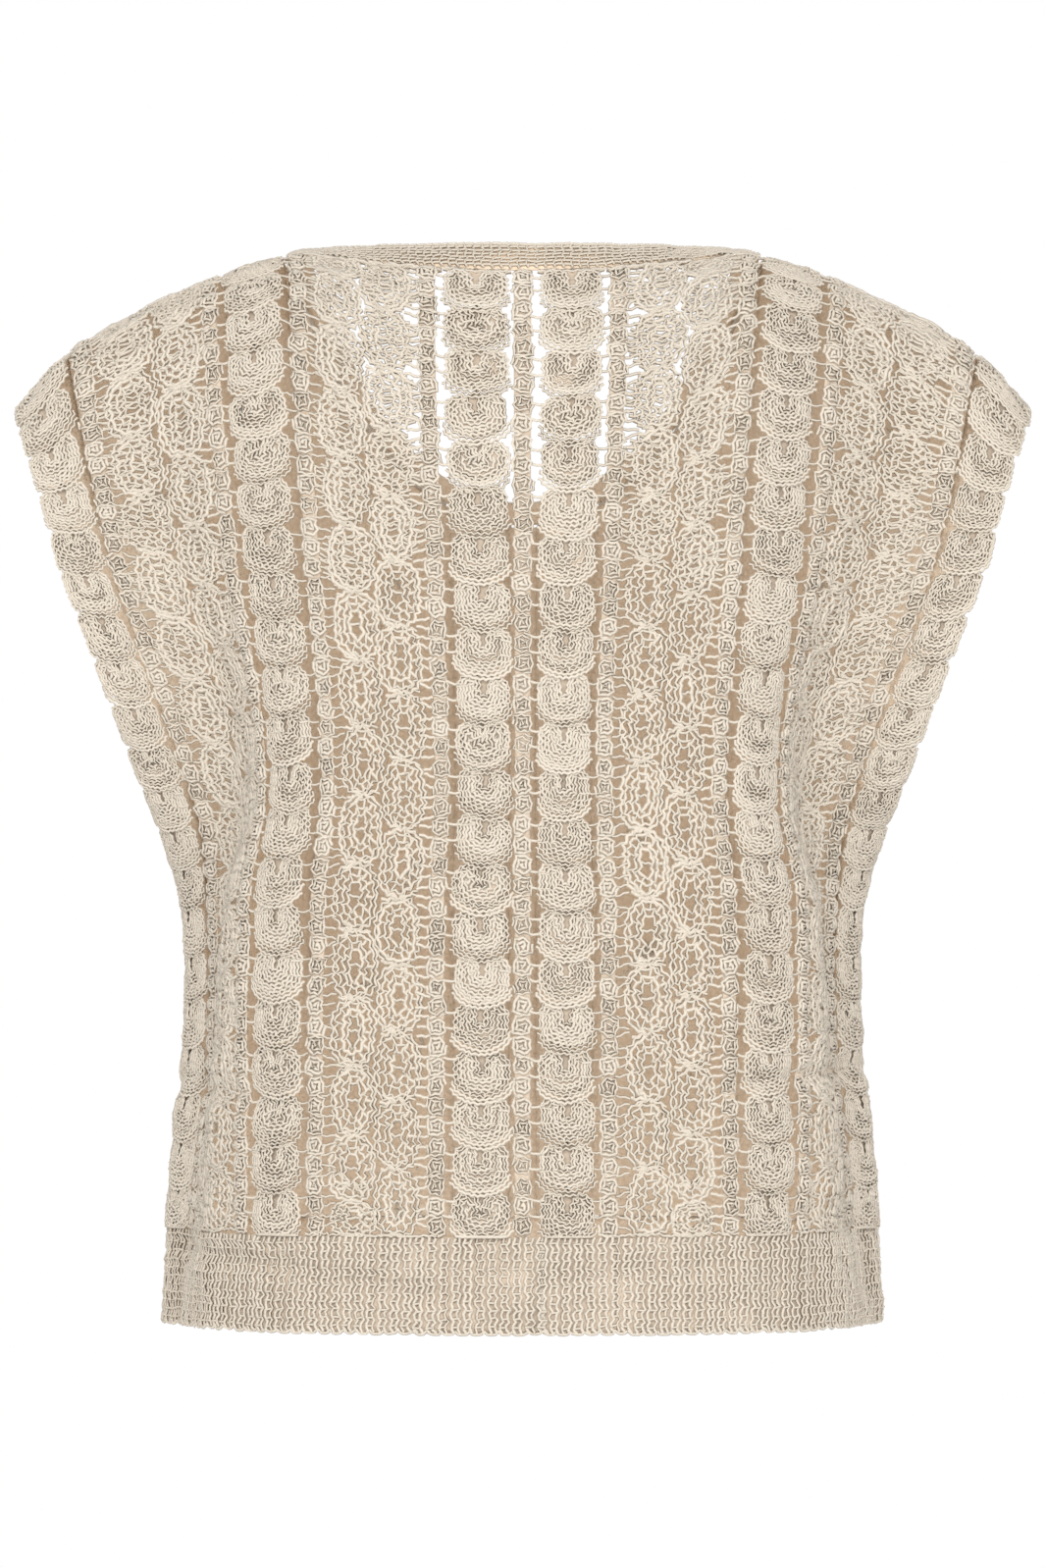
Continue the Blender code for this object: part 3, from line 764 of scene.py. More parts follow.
def row_round(core, distance):
    """The closed row at an even distance round a bent core, from the outside of its first arm."""
    line = evenly(smooth_path(core), CORE_STEP)
    out = beside(line)
    along = np.stack([-out[:, 1], out[:, 0]], axis=1)
    turn = np.linspace(0, math.pi, ROUND_END)[1:-1, None]
    end = line[-1] + distance * (out[-1] * np.cos(turn) + along[-1] * np.sin(turn))
    start = line[0] - distance * (out[0] * np.cos(turn) + along[0] * np.sin(turn))
    row = np.concatenate([line + out * distance, end, (line - out * distance)[::-1], start])
    away = np.linalg.norm(row[:, None] - line, axis=2).min(axis=1)
    return row[away > distance - CORE_STEP / 5]


def posts(inner, outer):
    """Short upright stitches that cross from one row to the next."""
    paths = []
    for head in evenly(outer, POST_SPACING, closed=True):
        foot = inner[np.argmin(np.linalg.norm(inner - head, axis=1))]
        paths.append(Path(on_shell(np.array((head, foot))) + (0, 0, POST_LIFT), False, POST_THICK))
    return paths


def shell_motif(collection, name, step, with_posts):
    """The rows of one shell, the rows of its rim, and the posts across them."""
    core = SHELL_CORES[name]
    rows = [row_round(core, distance) for distance in SHELL_ROWS]
    paths = []
    for row in rows:
        paths.append(Path(on_shell(wobbled(evenly(row, step, closed=True))), True, 1.0))
    for distance, highest in RIM_ROWS:
        rim = row_round(core, distance)
        rim = rim[rim[:, 1] < highest]
        paths.append(Path(on_shell(wobbled(evenly(rim[np.argsort(rim[:, 0])], step))), False, 1.0))
    if with_posts:
        for inner, outer in zip(rows, rows[1:]):
            paths += posts(inner, outer)
    make_motif(collection, name, paths)


def edge_row_motif(collection, name, half, thick=1.0):
    """A row of small stitches across the end of a strip, or the thicker ones of a seam."""
    at = grid_steps(-half, half, EDGE_STEP)
    row = np.stack([at, zigzag(at, EDGE_WAVE)], axis=1)
    make_motif(collection, name, [Path(with_lift(row, EDGE_LIFT), False, thick)])


def shell_half_width(up):
    """How far a column of shells reaches from its middle line, at a height in one shell."""
    core = SHELL_CORES["a_even"]
    edge = row_round(core, SHELL_ROWS[-1])
    edge = edge[(edge[:, 0] > 0) & ((edge[:, 0] > core[-1][0]) | (edge[:, 1] < core[-2][1]))]
    edge = edge[np.argsort(edge[:, 1])]
    return np.maximum(np.interp(up, edge[:, 1], edge[:, 0]),
                      np.interp(up - SHELL_TALL, edge[:, 1], edge[:, 0]))


def ground_piece(name, flat, across, up, lift, outside=PAINTED_SHADE_COTTON):
    """A thin worn ground of close crochet, with its own small thickness: painted light inside, painted shade
    outside unless told.
    """
    mesh = grid_mesh(name, flat.worn(across, up, lift)[0], flip=flat.face == "front")
    mesh.materials.append(outside)
    mesh.materials.append(PAINTED_LIGHT_COTTON)
    ground = put(name, mesh)
    wall = ground.modifiers.new("wall", "SOLIDIFY")
    wall.thickness = GROUND_WALL
    wall.offset = -1
    wall.material_offset = 1
    return ground


def dress(yarn, flat, node, grounds, area=None):
    """Puts a finished piece on the vest in place of its solid, and works out its size laid flat."""
    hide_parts(node)
    pieces = [yarn] + grounds
    for piece in pieces:
        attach(piece, "root")
    size = (flat.high[0] - flat.low[0], flat.high[1] - flat.low[1])


def shell_ground(name, flat, column, side, count, seam_up):
    """The ground of a column of shells and its area: notched like the shells, or closed on the front."""
    closed = flat.face == "front"
    up = np.linspace(0, flat.high[1], count * GROUND_ROWS + 1)
    in_shell = np.mod(np.linspace(0, count, len(up)), 1) * SHELL_TALL
    half = (shell_half_width(in_shell) - GROUND_INSET) / SHELL_HALF * column.half
    inner = -half
    outer = half.copy()
    if closed:
        inner[:] = column.inner + CLOSED_INSET - column.centre
        outer[:] = column.outer - CLOSED_INSET - column.centre
    if column.name == "shell_outer":
        outer[up < seam_up] = column.outer - column.centre
        outer[up >= seam_up] = half[up >= seam_up]
    across = inner[:, None] + (outer - inner)[:, None] * np.linspace(0, 1, GROUND_COLUMNS)
    flat_places = np.stack([across.ravel() / MM, np.repeat(in_shell, GROUND_COLUMNS)], axis=1)
    crown = (on_shell(flat_places)[:, 2] - UNDER_ROWS).reshape(across.shape) * MM
    crown[(in_shell > NOTCH_FOOT) & (not closed), GROUND_COLUMNS // 2] -= NOTCH_DEPTH
    up_grid = np.repeat(up[:, None], GROUND_COLUMNS, 1)
    ground = ground_piece(name, flat, (column.centre + across[:, ::side]) * side, up_grid, crown[:, ::side])
    return ground, strip_area(up, outer - inner)


def strip_area(run, wide):
    """The area of a strip from its widths along its run."""
    return float(np.sum((wide[1:] + wide[:-1]) / 2 * np.diff(run)))


shell_motifs = {}
for face, step in STITCH_STEP.items():
    shell_motifs[face] = motif_collection(face + "_shell_motifs")
    for name in SHELL_CORES:
        shell_motif(shell_motifs[face], name, step, with_posts=face == "back")
    make_motif(shell_motifs[face], "d_bridge", [Path(np.array(BRIDGE), False, BRIDGE_THICK)])
    edge_row_motif(shell_motifs[face], "e_edge_row", SHELL_HALF)
    edge_row_motif(shell_motifs[face], "f_seam", SHELL_HALF, SEAM_THICK)
SHELL_KINDS = len(SHELL_CORES)
BRIDGE_MOTIF, EDGE_MOTIF, SEAM_MOTIF = 3, 4, 5
hand = random.Random(5)


def by_hand(most):
    """A random amount, at most this much to either side."""
    return hand.uniform(-most, most)


def end_rows(width, tall, row, wide, seam, seam_wide):
    """Rows of small stitches at both ends of a strip, and the thicker row of the seam along its top."""
    rows = [Place(width, end, row, 0, wide) for end in (EDGE_INSET, tall - EDGE_INSET)]
    return rows + [Place(width, tall, seam, 0, seam_wide, lift=SEAM_LIFT)]


def shell_places(face, column, side, tall, count, wide):
    """The shells of one column from the hem up, each with its threads to the columns beside it."""
    stretch = tall / (count * SHELL_TALL * MM)
    middle = column.centre * side
    places = []
    for number in range(count):
        base = number * SHELL_TALL * MM * stretch
        places.append(Place(
            middle, base + by_hand(SHELL_SHIFT), hand.randrange(SHELL_KINDS), by_hand(SHELL_TURN),
            wide * hand.choice((-1, 1)) * hand.uniform(*SHELL_WIDTHS), stretch))
        for towards in column.bridges if face == "back" else ():
            for height in BRIDGE_PLACES:
                reach = shell_half_width(height) * MM * wide
                width = (column.centre + towards * reach) * side
                places.append(Place(width, base + height * MM * stretch, BRIDGE_MOTIF, 0, towards * side))
    return places + end_rows(middle, tall, EDGE_MOTIF, wide, SEAM_MOTIF, SEAM_SHARE * wide)


HALVES = [(face, name, side) for face in ("back", "front") for name, side in (("left", -1), ("right", 1))]
for face, side_name, side in HALVES:
    for column in (INNER_COLUMN[side_name], *SIDE_COLUMNS):
        node = f"{face}_{side_name}_{column.name}"
        flat = strip_flat(node, face, side, column.inner, column.outer)
        tall = flat.high[1]
        count = round(tall / MM / SHELL_TALL)
        places = shell_places(face, column, side, tall, count, (column.half - YARN_HALF) / (SHELL_HALF * MM))
        levels, run = upright_run(face, column.centre * side)
        seam_up = np.interp((UNDERARM_HEIGHT - HEM_HEIGHT) / LEVEL, levels, run) - (HEM_TOP - HEM_HEIGHT)
        if column.name == "shell_outer":
            places.append(Place(column.outer * side, seam_up / 2, SEAM_MOTIF, math.pi / 2,
                                seam_up / 2 / (SHELL_HALF * MM), lift=SEAM_LIFT))
        yarn = lay_yarn(node + "_yarn", flat, shell_motifs[face], places, seed=side + 3 * count)
        ground, area = shell_ground(node + "_ground", flat, column, side, count, seam_up)
        dress(yarn, flat, node, [ground], area)

# Lace strips
# Oval medallions of thicker cotton yarn in two staggered columns, each of four wavy rings with a bar and
# short spokes. Strands spread where two meet, and rungs tie them to a corded column along each edge of the
# strip, which is a row of domed knots over a narrow ground.
LACE_STRIPS = {"lace_inner": (0.0368, 0.1089), "lace_outer": (0.1420, 0.2172)}
LACE_RADIUS = 0.00104
LACE_UNEVENNESS = 0.0030
LACE_LIFT = 1.0
LACE_EDGE_HALF = 36.1
LACE_EDGE_INSET = 0.5
CORD_WIDE = 0.011
CORD_GROUND_HALF = 0.0034
CORD_GROUND_LIFT = 0.0009
CORD_GROUND_STEP = 0.008
CORD_GROUND_COLUMNS = 5
CELL_TALL = 9.4
CELL_TURNS = 2.5
CELL_HALF = 5.1
CELL_STEP = 1.95
CELL_DOME = 1.4
CELL_DOME_SQUARE = 30
CELL_SQUARENESS = 0.12
CELL_INWARD = 0.85
CELL_POINTS = 80
CELL_THICK = 1.05
CELL_TURN = 0.25
RUNG = ((-1.0, 0.2, 1.2), (1.4, -0.3, 1.0), (3.8, 0.3, 1.0), (6.2, 0, 1.0))
RUNG_START = 0.0044
RUNG_LONG = 0.0036
RUNG_TURN = 0.35
MEDALLION_TALL = 32.0
MEDALLION_HALF = 10.4
MEDALLION_POINTS = 180
Ring = namedtuple("Ring", "wide tall squareness")
MEDALLION_RINGS = (Ring(10.3, 15.8, 2.7), Ring(8.5, 13.9, 2.5), Ring(5.5, 10.4, 2.3), Ring(3.1, 7.4, 2.1))
MEDALLION_STEP = {"back": 1.75, "front": 2.4}
MEDALLION_WAVE = 4.8
MEDALLION_WOBBLE = 0.8
MEDALLION_SHIFT = 0.0004
MEDALLION_TURN = 0.07
MEDALLION_BAR = ((-2.6, 0.4), (-0.9, -0.4), (0.9, 0.3), (2.6, -0.3))
Spokes = namedtuple("Spokes", "outer inner count")
MEDALLION_SPOKES = (Spokes(1, 2, 13), Spokes(2, 3, 8))
SPOKE_LIFT = 0.8
SPOKE_THICK = 0.85
END_SIZE = 0.5
END_SHIFT = 0.25
JOINT_WIDE = 8.6
JOINT_TALL = 5.4
JOINT_ANGLES = (-0.75, 0, 0.75, 2.4, 3.14, 3.9)
Bend = namedtuple("Bend", "part aside")
JOINT_BENDS = (Bend(0.12, 0.5), Bend(0.4, -0.7), Bend(0.7, 0.7), Bend(1, -0.5))
JOINT_LIFT = 0.9
STRAND_THICK = 0.95
JOINT_TURN = 0.3
BACKING_ROW = 3.1
BACKING_WAVE = 2.6
BACKING_SIZE = 0.7
BACKING_TALL = 0.85
BACKING_LIFT = 0.4
BACKING_SHIFT = 0.0022
BACKING_WIDE = 1.3
BACKING_REACH = {"lace_inner": 0.165, "lace_outer": 0.40}
CLOSE_STEP = 0.0066
CLOSE_LIFT = 0.0001
UNDER_NEIGHBOUR = 0.0012


def oval(ring):
    """Points round a rounded oval."""
    angle = np.linspace(0, 2 * math.pi, MEDALLION_POINTS, endpoint=False)
    way = np.stack([np.cos(angle), np.sin(angle)], axis=1)
    return (ring.wide, ring.tall) * np.sign(way) * np.abs(way) ** (2 / ring.squareness)


def waved(points, wave, size):
    """A ring of flat points thrown into waves, a whole number of them round it."""
    run = running_length(np.concatenate([points, points[:1]]))
    waves = max(1, round(run[-1] / wave))
    return points + beside(points) * (size * np.sin(2 * math.pi * waves * run[:-1] / run[-1]))[:, None]


def cell_motif(collection, name):
    """One domed knot of a corded column: a strand wound up square, from its edge to its middle."""
    part = np.linspace(0, 1, CELL_POINTS)[:, None]
    angle = 2 * math.pi * CELL_TURNS * part
    spiral = np.concatenate([np.cos(angle), np.sin(angle)], axis=1)
    square = 1 + CELL_SQUARENESS * np.cos(4 * angle + math.pi)
    spiral = wobbled(evenly(spiral * square * CELL_HALF * (1 - CELL_INWARD * part), CELL_STEP))
    dome = LACE_LIFT + CELL_DOME * (1 - np.linalg.norm(spiral, axis=1) ** 2 / CELL_DOME_SQUARE)
    make_motif(collection, name, [Path(with_lift(spiral, dome), False, CELL_THICK)])


def joint_motif(collection, name):
    """The strands that spread to both sides where the ends of two medallions meet."""
    paths = []
    for angle in JOINT_ANGLES:
        way = np.array((JOINT_WIDE * math.cos(angle), JOINT_TALL * math.sin(angle)))
        aside = np.array((-way[1], way[0])) / np.linalg.norm(way)
        line = [way * bend.part + aside * bend.aside for bend in JOINT_BENDS]
        paths.append(Path(with_lift(np.array(line), JOINT_LIFT), False, STRAND_THICK))
    make_motif(collection, name, paths)


def backing_motif(collection, name):
    """Rows of wavy yarn behind a medallion of the back, where the photo's net is too close to see through."""
    ring = MEDALLION_RINGS[0]
    paths = []
    for up in grid_steps(-BACKING_TALL * ring.tall, BACKING_TALL * ring.tall, BACKING_ROW):
        half = ring.wide * math.sqrt(1 - (up / ring.tall) ** 2)
        at = grid_steps(-half, half, BACKING_WAVE)
        row = np.stack([at, up + zigzag(at, BACKING_SIZE)], axis=1)
        paths.append(Path(with_lift(row, BACKING_LIFT), False, 1.0))
    make_motif(collection, name, paths)


def medallion_motif(collection, name, step):
    """One medallion: wavy rings, a bar across the middle, and short spokes from ring to ring."""
    rings = [oval(ring) for ring in MEDALLION_RINGS]
    paths = []
    for ring in rings:
        row = waved(evenly(ring, step, closed=True), MEDALLION_WAVE, MEDALLION_WOBBLE)
        paths.append(Path(with_lift(row, LACE_LIFT), True, 1.0))
    for outer, inner, count in MEDALLION_SPOKES:
        at = (np.arange(count) + 0.5 * (inner % 2)) / count * MEDALLION_POINTS
        for k in at.astype(int):
            spoke = np.stack([rings[outer][k], rings[inner][k]])
            paths.append(Path(with_lift(spoke, SPOKE_LIFT), False, SPOKE_THICK))
    paths.append(Path(with_lift(np.array(MEDALLION_BAR), LACE_LIFT), False, 1.0))
    make_motif(collection, name, paths)


lace_motifs = {}
for face, step in MEDALLION_STEP.items():
    lace_motifs[face] = motif_collection(face + "_lace_motifs")
    medallion_motif(lace_motifs[face], "a_medallion", step)
    cell_motif(lace_motifs[face], "b_cell")
    make_motif(lace_motifs[face], "c_rung", [Path(np.array(RUNG), False, STRAND_THICK)])
    edge_row_motif(lace_motifs[face], "d_edge_row", LACE_EDGE_HALF)
    joint_motif(lace_motifs[face], "e_joint")
    backing_motif(lace_motifs[face], "f_backing")
    edge_row_motif(lace_motifs[face], "g_seam", LACE_EDGE_HALF, SEAM_THICK)
MEDALLION, CELL, RUNG_MOTIF, LACE_EDGE, JOINT, BACKING, LACE_SEAM = range(7)


def cell_place(width, up):
    """A knot of a corded column, turned and flipped at random."""
    turn = hand.randrange(4) * math.pi / 2 + by_hand(CELL_TURN)
    return Place(width, up, CELL, turn, hand.choice((-1, 1)))


def cord_ground(name, flat, centre, half, side, lift=CORD_GROUND_LIFT):
    """A narrow ground under a corded column."""
    across = np.sort((centre + half * np.linspace(-1, 1, CORD_GROUND_COLUMNS)) * side)
    up = grid_steps(0, flat.high[1], CORD_GROUND_STEP)
    return ground_piece(name, flat, *np.meshgrid(across, up), lift)


def close_ground(name, flat, inner, outer, side):
    """The close crochet behind a strip of the front, which runs a little under the strips beside it."""
    across = np.sort(grid_steps(inner - UNDER_NEIGHBOUR, outer + UNDER_NEIGHBOUR, CLOSE_STEP) * side)
    up = grid_steps(CLOSED_INSET, flat.high[1] - CLOSED_INSET, CLOSE_STEP)
    return ground_piece(name, flat, *np.meshgrid(across, up), CLOSE_LIFT)


def cord_places(centre, towards, side, tall, cells):
    """The knots of one corded column, and two rungs from each towards the medallions."""
    foot = (centre + towards * RUNG_START) * side
    places = []
    for number in range(cells):
        up = (number + 0.5) / cells * tall
        places.append(cell_place(centre * side, up))
        for shift in (0, 0.5):
            rung_up = up + shift * tall / cells
            places.append(Place(foot, rung_up, RUNG_MOTIF, by_hand(RUNG_TURN), towards * side))
    return places


def medallion_places(middle, away, side, tall, medallions, backed_from):
    """Two staggered columns of medallions, the joints between them, and the backing of the upper ones."""
    wide = away / (MEDALLION_HALF * MM)
    pitch = tall / medallions
    places = []
    for towards, shift in ((-1, 0.5), (1, 0.0)):
        across = middle + towards * away
        for number in range(medallions + 1):
            up = (number + shift) * pitch
            if up > tall:
                continue
            size = 1.0
            if shift == 0 and number in (0, medallions):
                size = END_SIZE
                up += (END_SHIFT if number == 0 else -END_SHIFT) * pitch
            places.append(Place((across + by_hand(MEDALLION_SHIFT)) * side, up, MEDALLION,
                                by_hand(MEDALLION_TURN), wide, pitch / MM / MEDALLION_TALL * size))
            if up > backed_from:
                width = (across + towards * BACKING_SHIFT) * side
                places.append(Place(width, up, BACKING, 0, BACKING_WIDE, size))
            if number < medallions - shift:
                places.append(Place(across * side, up + pitch / 2, JOINT, by_hand(JOINT_TURN)))
    return places


for face, side_name, side in HALVES:
    for strip, (inner, outer) in LACE_STRIPS.items():
        node = f"{face}_{side_name}_{strip}"
        flat = strip_flat(node, face, side, inner, outer)
        tall = flat.high[1]
        grounds = []
        if face == "front":
            grounds.append(close_ground(node + "_close_ground", flat, inner, outer, side))
        knots = []
        cells = round(tall / MM / CELL_TALL)
        for towards, centre in ((1, inner + CORD_WIDE / 2), (-1, outer - CORD_WIDE / 2)):
            ground_name = f"{node}_cord_ground_{len(grounds) + 1}"
            grounds.append(cord_ground(ground_name, flat, centre, CORD_GROUND_HALF, side))
            knots += cord_places(centre, towards, side, tall, cells)
        middle = (inner + outer) / 2
        half = (outer - inner) / 2
        away = half - CORD_WIDE - RUNG_LONG - MEDALLION_HALF * MM
        medallions = round(tall / MM / MEDALLION_TALL)
        backed_from = tall - BACKING_REACH[strip] if face == "back" else tall
        places = medallion_places(middle, away, side, tall, medallions, backed_from)
        row_wide = half / MM / (LACE_EDGE_HALF + LACE_EDGE_INSET)
        seam_wide = half / MM / LACE_EDGE_HALF
        places += end_rows(middle * side, tall, LACE_EDGE, row_wide, LACE_SEAM, seam_wide)
        yarn = lay_yarn(node + "_yarn", flat, lace_motifs[face], places, side * medallions + len(strip),
                        LACE_RADIUS, LACE_UNEVENNESS)
        cords = lay_yarn(node + "_cords", flat, lace_motifs[face], knots, seed=side * cells)
        dress(yarn, flat, node, [cords] + grounds)

# Middle columns
# A single corded column down the middle of each face, of the same domed knots in cotton yarn over a narrow
# ground. On the back, slots part it from the shells on its right alone.
MIDDLE_HALF = 0.0052
MIDDLE_GROUND_HALF = {"back": 0.0038, "front": 0.0068}
MIDDLE_GROUND_LIFT = {"back": CORD_GROUND_LIFT, "front": CLOSE_LIFT}
for face in ("back", "front"):
    node = face + "_middle_column"
    flat = strip_flat(node, face, 1, -MIDDLE_HALF, MIDDLE_HALF)
    tall = flat.high[1]
    cells = round(tall / MM / CELL_TALL)
    places = [cell_place(0, (number + 0.5) / cells * tall) for number in range(cells)]
    yarn = lay_yarn(node + "_yarn", flat, lace_motifs[face], places, seed=cells)
    ground = cord_ground(node + "_ground", flat, 0, MIDDLE_GROUND_HALF[face], 1, MIDDLE_GROUND_LIFT[face])
    dress(yarn, flat, node, [ground])

# Hem band
# A dense band worked round the lower edge: upright wavy ribs of cotton yarn, a ladder of short stitches
# beside every second one, small picots along the edge, and a seam just right of the middle of the back.
BACK_SEAM = 0.0094
HEM_TALL = 46.0
HEM_LIFT = 1.3
HEM_RIB = 3.0
RIB_START = 1.2
RIB_STEP = 1.85
HEM_WAVE = 5.5
HEM_WAVE_SIZE = 0.9
HEM_UNEVENNESS = 0.0025
DASH_STEP = 3.9
DASH_HALF = 1.6
DASH_LIFT = 1.8
DASH_SLANT = 0.3
DASH_THICK = 0.9
PICOT = ((-3.4, 2.0), (-1.9, 0.5), (0, 0), (1.9, 0.5), (3.4, 2.0))
PICOT_SPACING = 7.0
PICOT_UP = 0.0004
TRIM_THICK = 1.1
HEM_GROUND_LIFT = 0.0001
HEM_GROUND_INSET = 0.0005
HEM_GROUND_START = 0.0015
HEM_GROUND_WIDE = 0.004
HEM_GROUND_TALL = 0.003


def rib_motif(collection, name, tall):
    """A wavy rib that runs up a band."""
    up = grid_steps(RIB_START, tall, RIB_STEP)
    wave = HEM_WAVE_SIZE * np.sin(2 * math.pi * up / HEM_WAVE)
    make_motif(collection, name, [Path(with_lift(np.stack([wave, up], axis=1), HEM_LIFT), False, 1.0)])


def dashes_motif(collection, name, tall, step, half):
    """A ladder of short stitches across."""
    paths = []
    for up in np.arange(step, tall, step):
        shift = HEM_WAVE_SIZE * math.sin(2 * math.pi * up / HEM_WAVE)
        dash = np.array(((shift - half, up), (shift + half, up + DASH_SLANT)))
        paths.append(Path(with_lift(dash, DASH_LIFT), False, DASH_THICK))
    make_motif(collection, name, paths)


hem_motifs = motif_collection("hem_motifs")
rib_motif(hem_motifs, "a_rib", HEM_TALL)
dashes_motif(hem_motifs, "b_dashes", HEM_TALL, DASH_STEP, DASH_HALF)
make_motif(hem_motifs, "c_picot", [Path(with_lift(smooth_path(PICOT, parts=2), HEM_LIFT), False, TRIM_THICK)])
RIB, DASHES, TRIM = range(3)
HEM_NODES = {
    "back_left_hem_band": ("back", -HALF_CLOTH, BACK_SEAM),
    "back_right_hem_band": ("back", BACK_SEAM, HALF_CLOTH),
    "front_hem_band": ("front", -HALF_CLOTH, HALF_CLOTH),
}
for node, (face, left, right) in HEM_NODES.items():
    levels, run = upright_run(face, (left + right) / 2)
    tall = float(np.interp((HEM_TOP - HEM_HEIGHT) / LEVEL, levels, run))

    def to_cloth(width, up, levels=levels, run=run):
        return width, np.interp(up, run, levels)

    flat = Flat(node, face, (left, 0), (right, tall), to_cloth)
    wide = right - left
    stretch = tall / MM / HEM_TALL
    places = []
    ribs = round(wide / MM / HEM_RIB)
    for number in range(ribs):
        width = left + (number + 0.5) / ribs * wide
        places.append(Place(width, 0, RIB, tall=stretch))
        if number % 2:
            places.append(Place(width + HEM_RIB / 2 * MM, 0, DASHES, tall=stretch))
    for end in (left, right):
        places.append(Place(end, 0, RIB, tall=stretch, lift=SEAM_LIFT))
    picots = round(wide / MM / PICOT_SPACING)
    for number in range(picots):
        places.append(Place(left + (number + 0.5) / picots * wide, PICOT_UP, TRIM))
    yarn = lay_yarn(node + "_yarn", flat, hem_motifs, places, seed=ribs, unevenness=HEM_UNEVENNESS)
    across = grid_steps(left + HEM_GROUND_INSET, right - HEM_GROUND_INSET, HEM_GROUND_WIDE)
    up = grid_steps(HEM_GROUND_START, tall, HEM_GROUND_TALL)
    ground = ground_piece(node + "_ground", flat, *np.meshgrid(across, up), HEM_GROUND_LIFT)
    dress(yarn, flat, node, [ground])

# Neck bands
# A band of cotton yarn worked along the neckline: upright wavy stitches with short stacked ones between
# them and a row of edge stitches. It is deep at the middle of the back, thin at the shoulders, and even all
# round the front. Its ground is the lighter copy of the cotton, painted light, on both sides.
NECK_SEAM = 0.0010
BAND_TALL = {"back": 0.018, "front": 0.012}
BAND_STATIONS = 121
BAND_ROWS = 7
BAND_LINE = 2
BAND_RIB = 4.2
NECK_TALL = 18.0
NECK_DASH_STEP = 2.4
NECK_DASH_HALF = 2.0
NECK_DASH_WIDE = 0.8
NECK_EDGE = ((-3.2, 0), (-1.0, 0.5), (1.0, 0.5), (3.2, 0))
NECK_EDGE_LIFT = 1.1
NECK_EDGE_DOWN = 0.0012
NECK_GROUND_LIFT = 0.0005
NECK_GROUND_STEP = 0.006
NECK_GROUND_ROWS = 4
NECK_GROUND_DOWN = 0.0008
NECK_GROUND_TRIM = 0.0012


def band_drop(face, angle, down):
    """Place across and cloth length below the top line, at an angle on the neck and a depth of band."""
    if face == "front":
        short = FRONT_BAND_WIDTH - down
        return ((NECK_HALF - short) * math.sin(angle),
                SEAM / 2 + (FRONT_NECK_DROP - NECK_SEAM - short) * math.cos(angle))
    return (NECK_HALF - SEAM / 2) * math.sin(angle), SEAM / 2 + down


def band_depth(face, angle):
    """How deep the band is at an angle on the neck."""
    if face == "front":
        return FRONT_BAND_WIDTH
    return BACK_BAND_END - 1.5 * SEAM + (BACK_BAND_MIDDLE - BACK_BAND_END) * math.cos(angle)


def neck_flat(name, face):
    """The flat measures of a neck band: width along its middle line, length up to its free edge."""
    tall = BAND_TALL[face]
    angles = np.linspace(-math.pi / 2, math.pi / 2, BAND_STATIONS)
    table = np.zeros((BAND_STATIONS, BAND_ROWS, 2))
    for i, angle in enumerate(angles):
        for j, down in enumerate(np.linspace(0, tall, BAND_ROWS)):
            across, drop = band_drop(face, angle, down)
            table[i, j] = across, level_below_top(face, across, drop)
    run = running_length(cloth_point(face, table[:, BAND_LINE, 0], table[:, BAND_LINE, 1])[0])
    run -= run[-1] / 2

    def to_cloth(width, up):
        station = np.clip(np.interp(width, run, np.arange(BAND_STATIONS)), 0, BAND_STATIONS - 1 - TINY)
        down = np.clip((tall - up) / tall, 0, 1 - TINY) * (BAND_ROWS - 1)
        place = blend(table, station, down)
        return place[..., 0], place[..., 1]

    return Flat(name, face, (run[0], 0), (run[-1], tall), to_cloth), run, angles


neck_motifs = motif_collection("neck_motifs")
rib_motif(neck_motifs, "a_rib", NECK_TALL)
dashes_motif(neck_motifs, "b_dashes", NECK_TALL, NECK_DASH_STEP, NECK_DASH_HALF)
make_motif(neck_motifs, "c_edge", [Path(with_lift(np.array(NECK_EDGE), NECK_EDGE_LIFT), False, TRIM_THICK)])
for face in ("back", "front"):
    node = face + "_neck_band"
    flat, run, angles = neck_flat(node, face)
    tall = flat.high[1]
    places = []
    ribs = round((run[-1] - run[0]) / MM / BAND_RIB)
    for number in range(ribs):
        width = run[0] + (number + 0.5) / ribs * (run[-1] - run[0])
        depth = band_depth(face, float(np.interp(width, run, angles)))
        stretch = depth / (NECK_TALL * MM)
        beside_rib = width + BAND_RIB / 2 * MM
        places.append(Place(width, tall - depth, RIB, tall=stretch))
        places.append(Place(beside_rib, tall - depth, DASHES, wide=NECK_DASH_WIDE, tall=stretch))
        places.append(Place(width, tall - NECK_EDGE_DOWN, TRIM))
    yarn = lay_yarn(node + "_yarn", flat, neck_motifs, places, seed=ribs)
    widths = grid_steps(run[0], run[-1], NECK_GROUND_STEP)
    depths = np.array([band_depth(face, float(angle)) for angle in np.interp(widths, run, angles)])
    part = np.linspace(1, 0, NECK_GROUND_ROWS)[:, None]
    up = tall - NECK_GROUND_DOWN - (depths - NECK_GROUND_TRIM) * part
    # The neck band's ground also has the painted light copy of the cotton on its outside.
    ground = ground_piece(node + "_ground", flat, *np.broadcast_arrays(widths, up), NECK_GROUND_LIFT,
                          PAINTED_LIGHT_COTTON)
    dress(yarn, flat, node, [ground], strip_area(widths, depths))

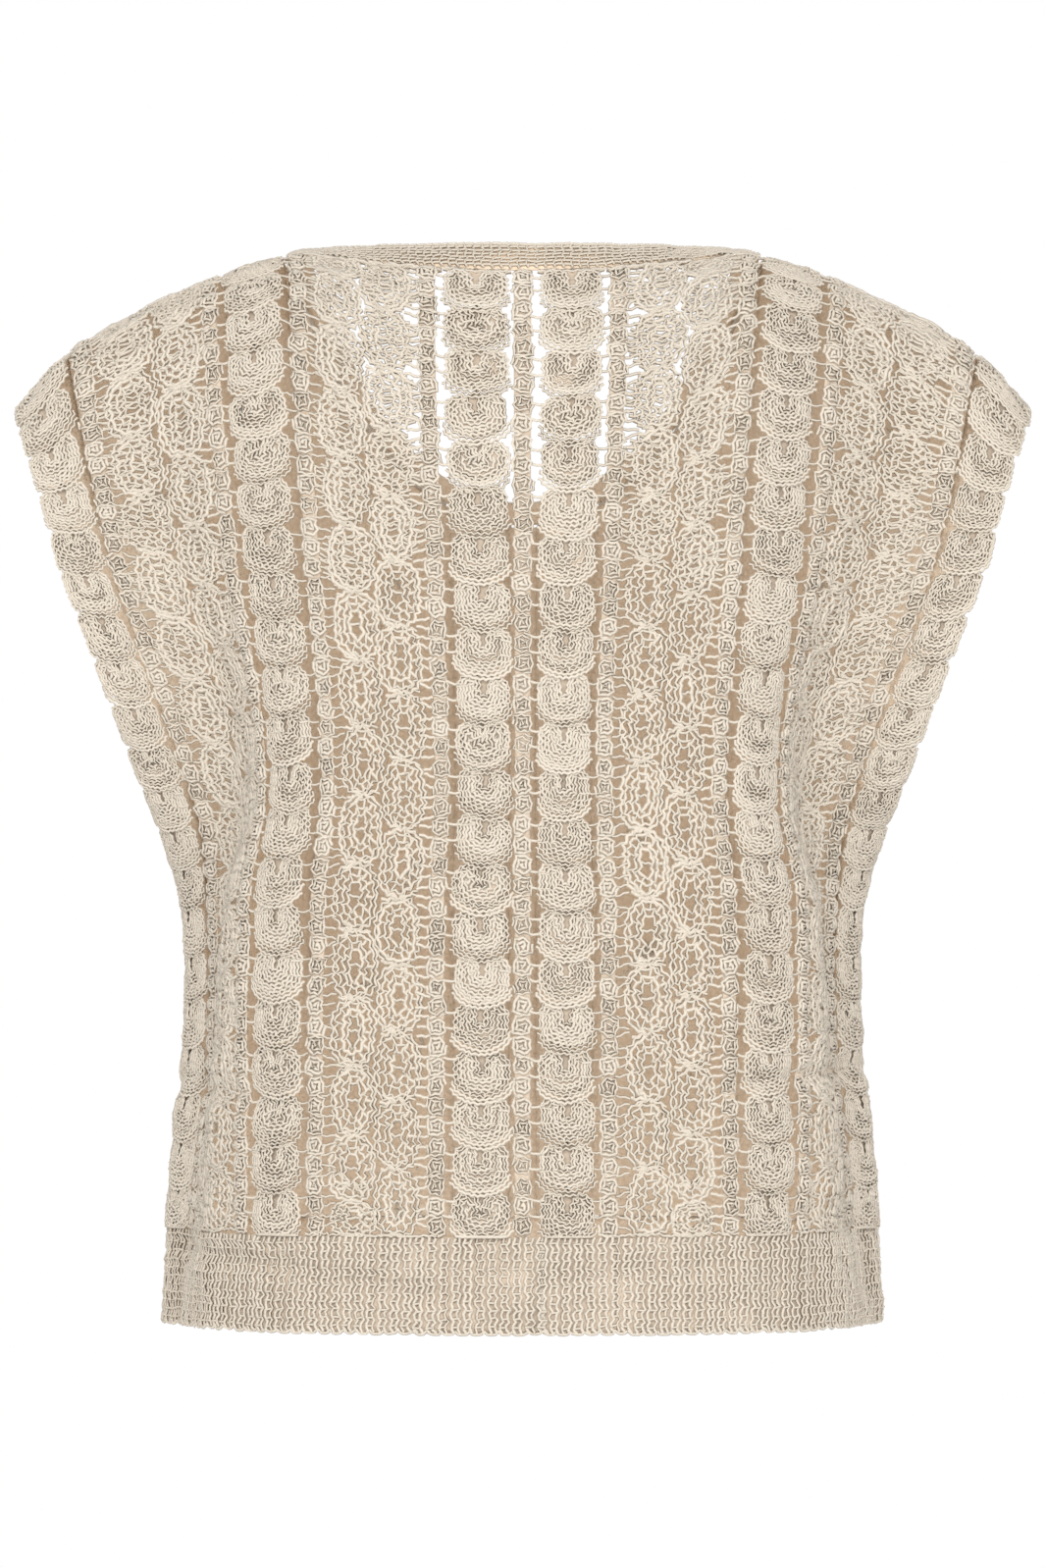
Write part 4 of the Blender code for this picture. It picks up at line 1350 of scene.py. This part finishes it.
# Studio
# A white room with a pale floor, one large soft key light over the camera's left, a weaker one to its right
# and one behind, and a long lens that takes in the vest at the photo's size.
FRAME_TALL = 1598
MM_A_PIXEL = 0.47
CAMERA_AWAY = 5.0
SENSOR = 36.0
VIEW_HEIGHT = -0.257
FLOOR_HEIGHT = -0.80
FLOOR_SIZE = 2.2

camera_data = bpy.data.cameras.new("camera")
camera_data.sensor_width = SENSOR
camera_data.lens = SENSOR * CAMERA_AWAY / (FRAME_TALL * MM_A_PIXEL * MM)
camera_data.clip_start = 0.01
camera = put("camera", camera_data)
camera.location = (0, -CAMERA_AWAY, VIEW_HEIGHT)
camera.rotation_euler = (math.radians(90), 0, 0)
bpy.context.scene.camera = camera


def studio_light(name, place, size, power):
    """A soft square light that faces the vest."""
    data = bpy.data.lights.new(name, "AREA")
    data.shape = "SQUARE"
    data.size = size
    data.energy = power
    light = put(name, data)
    light.location = place
    light.rotation_euler = (Vector((0, 0, VIEW_HEIGHT)) - Vector(place)).to_track_quat("-Z", "Y").to_euler()


studio_light("key", (-0.45, -2.9, 0.6), 1.6, 44)
studio_light("fill", (0.6, -2.9, 0.0), 1.8, 28)
studio_light("back_light", (0.3, 2.4, 1.2), 1.8, 20)

world = bpy.data.worlds.new("studio")
bpy.context.scene.world = world
world.use_nodes = True
world.node_tree.nodes["Background"].inputs["Color"].default_value = (1, 1, 1, 1)
world.node_tree.nodes["Background"].inputs["Strength"].default_value = 1.0
bpy.context.scene.view_settings.view_transform = "Standard"

floor_line = np.array((-FLOOR_SIZE / 2, FLOOR_SIZE / 2))
floor_points = np.stack([*np.meshgrid(floor_line, floor_line), np.full((2, 2), FLOOR_HEIGHT)], axis=-1)
floor = put("floor", grid_mesh("floor", floor_points))
floor_paint = bpy.data.materials.new("floor_paint")
floor_paint.use_nodes = True
floor_paint.node_tree.nodes["Principled BSDF"].inputs["Base Color"].default_value = (0.8, 0.8, 0.8, 1)
floor.data.materials.append(floor_paint)

for collection in list(bpy.data.collections):
    if collection.name.endswith("_motifs"):
        for motif in list(collection.objects):
            bpy.data.objects.remove(motif)
        bpy.data.collections.remove(collection)
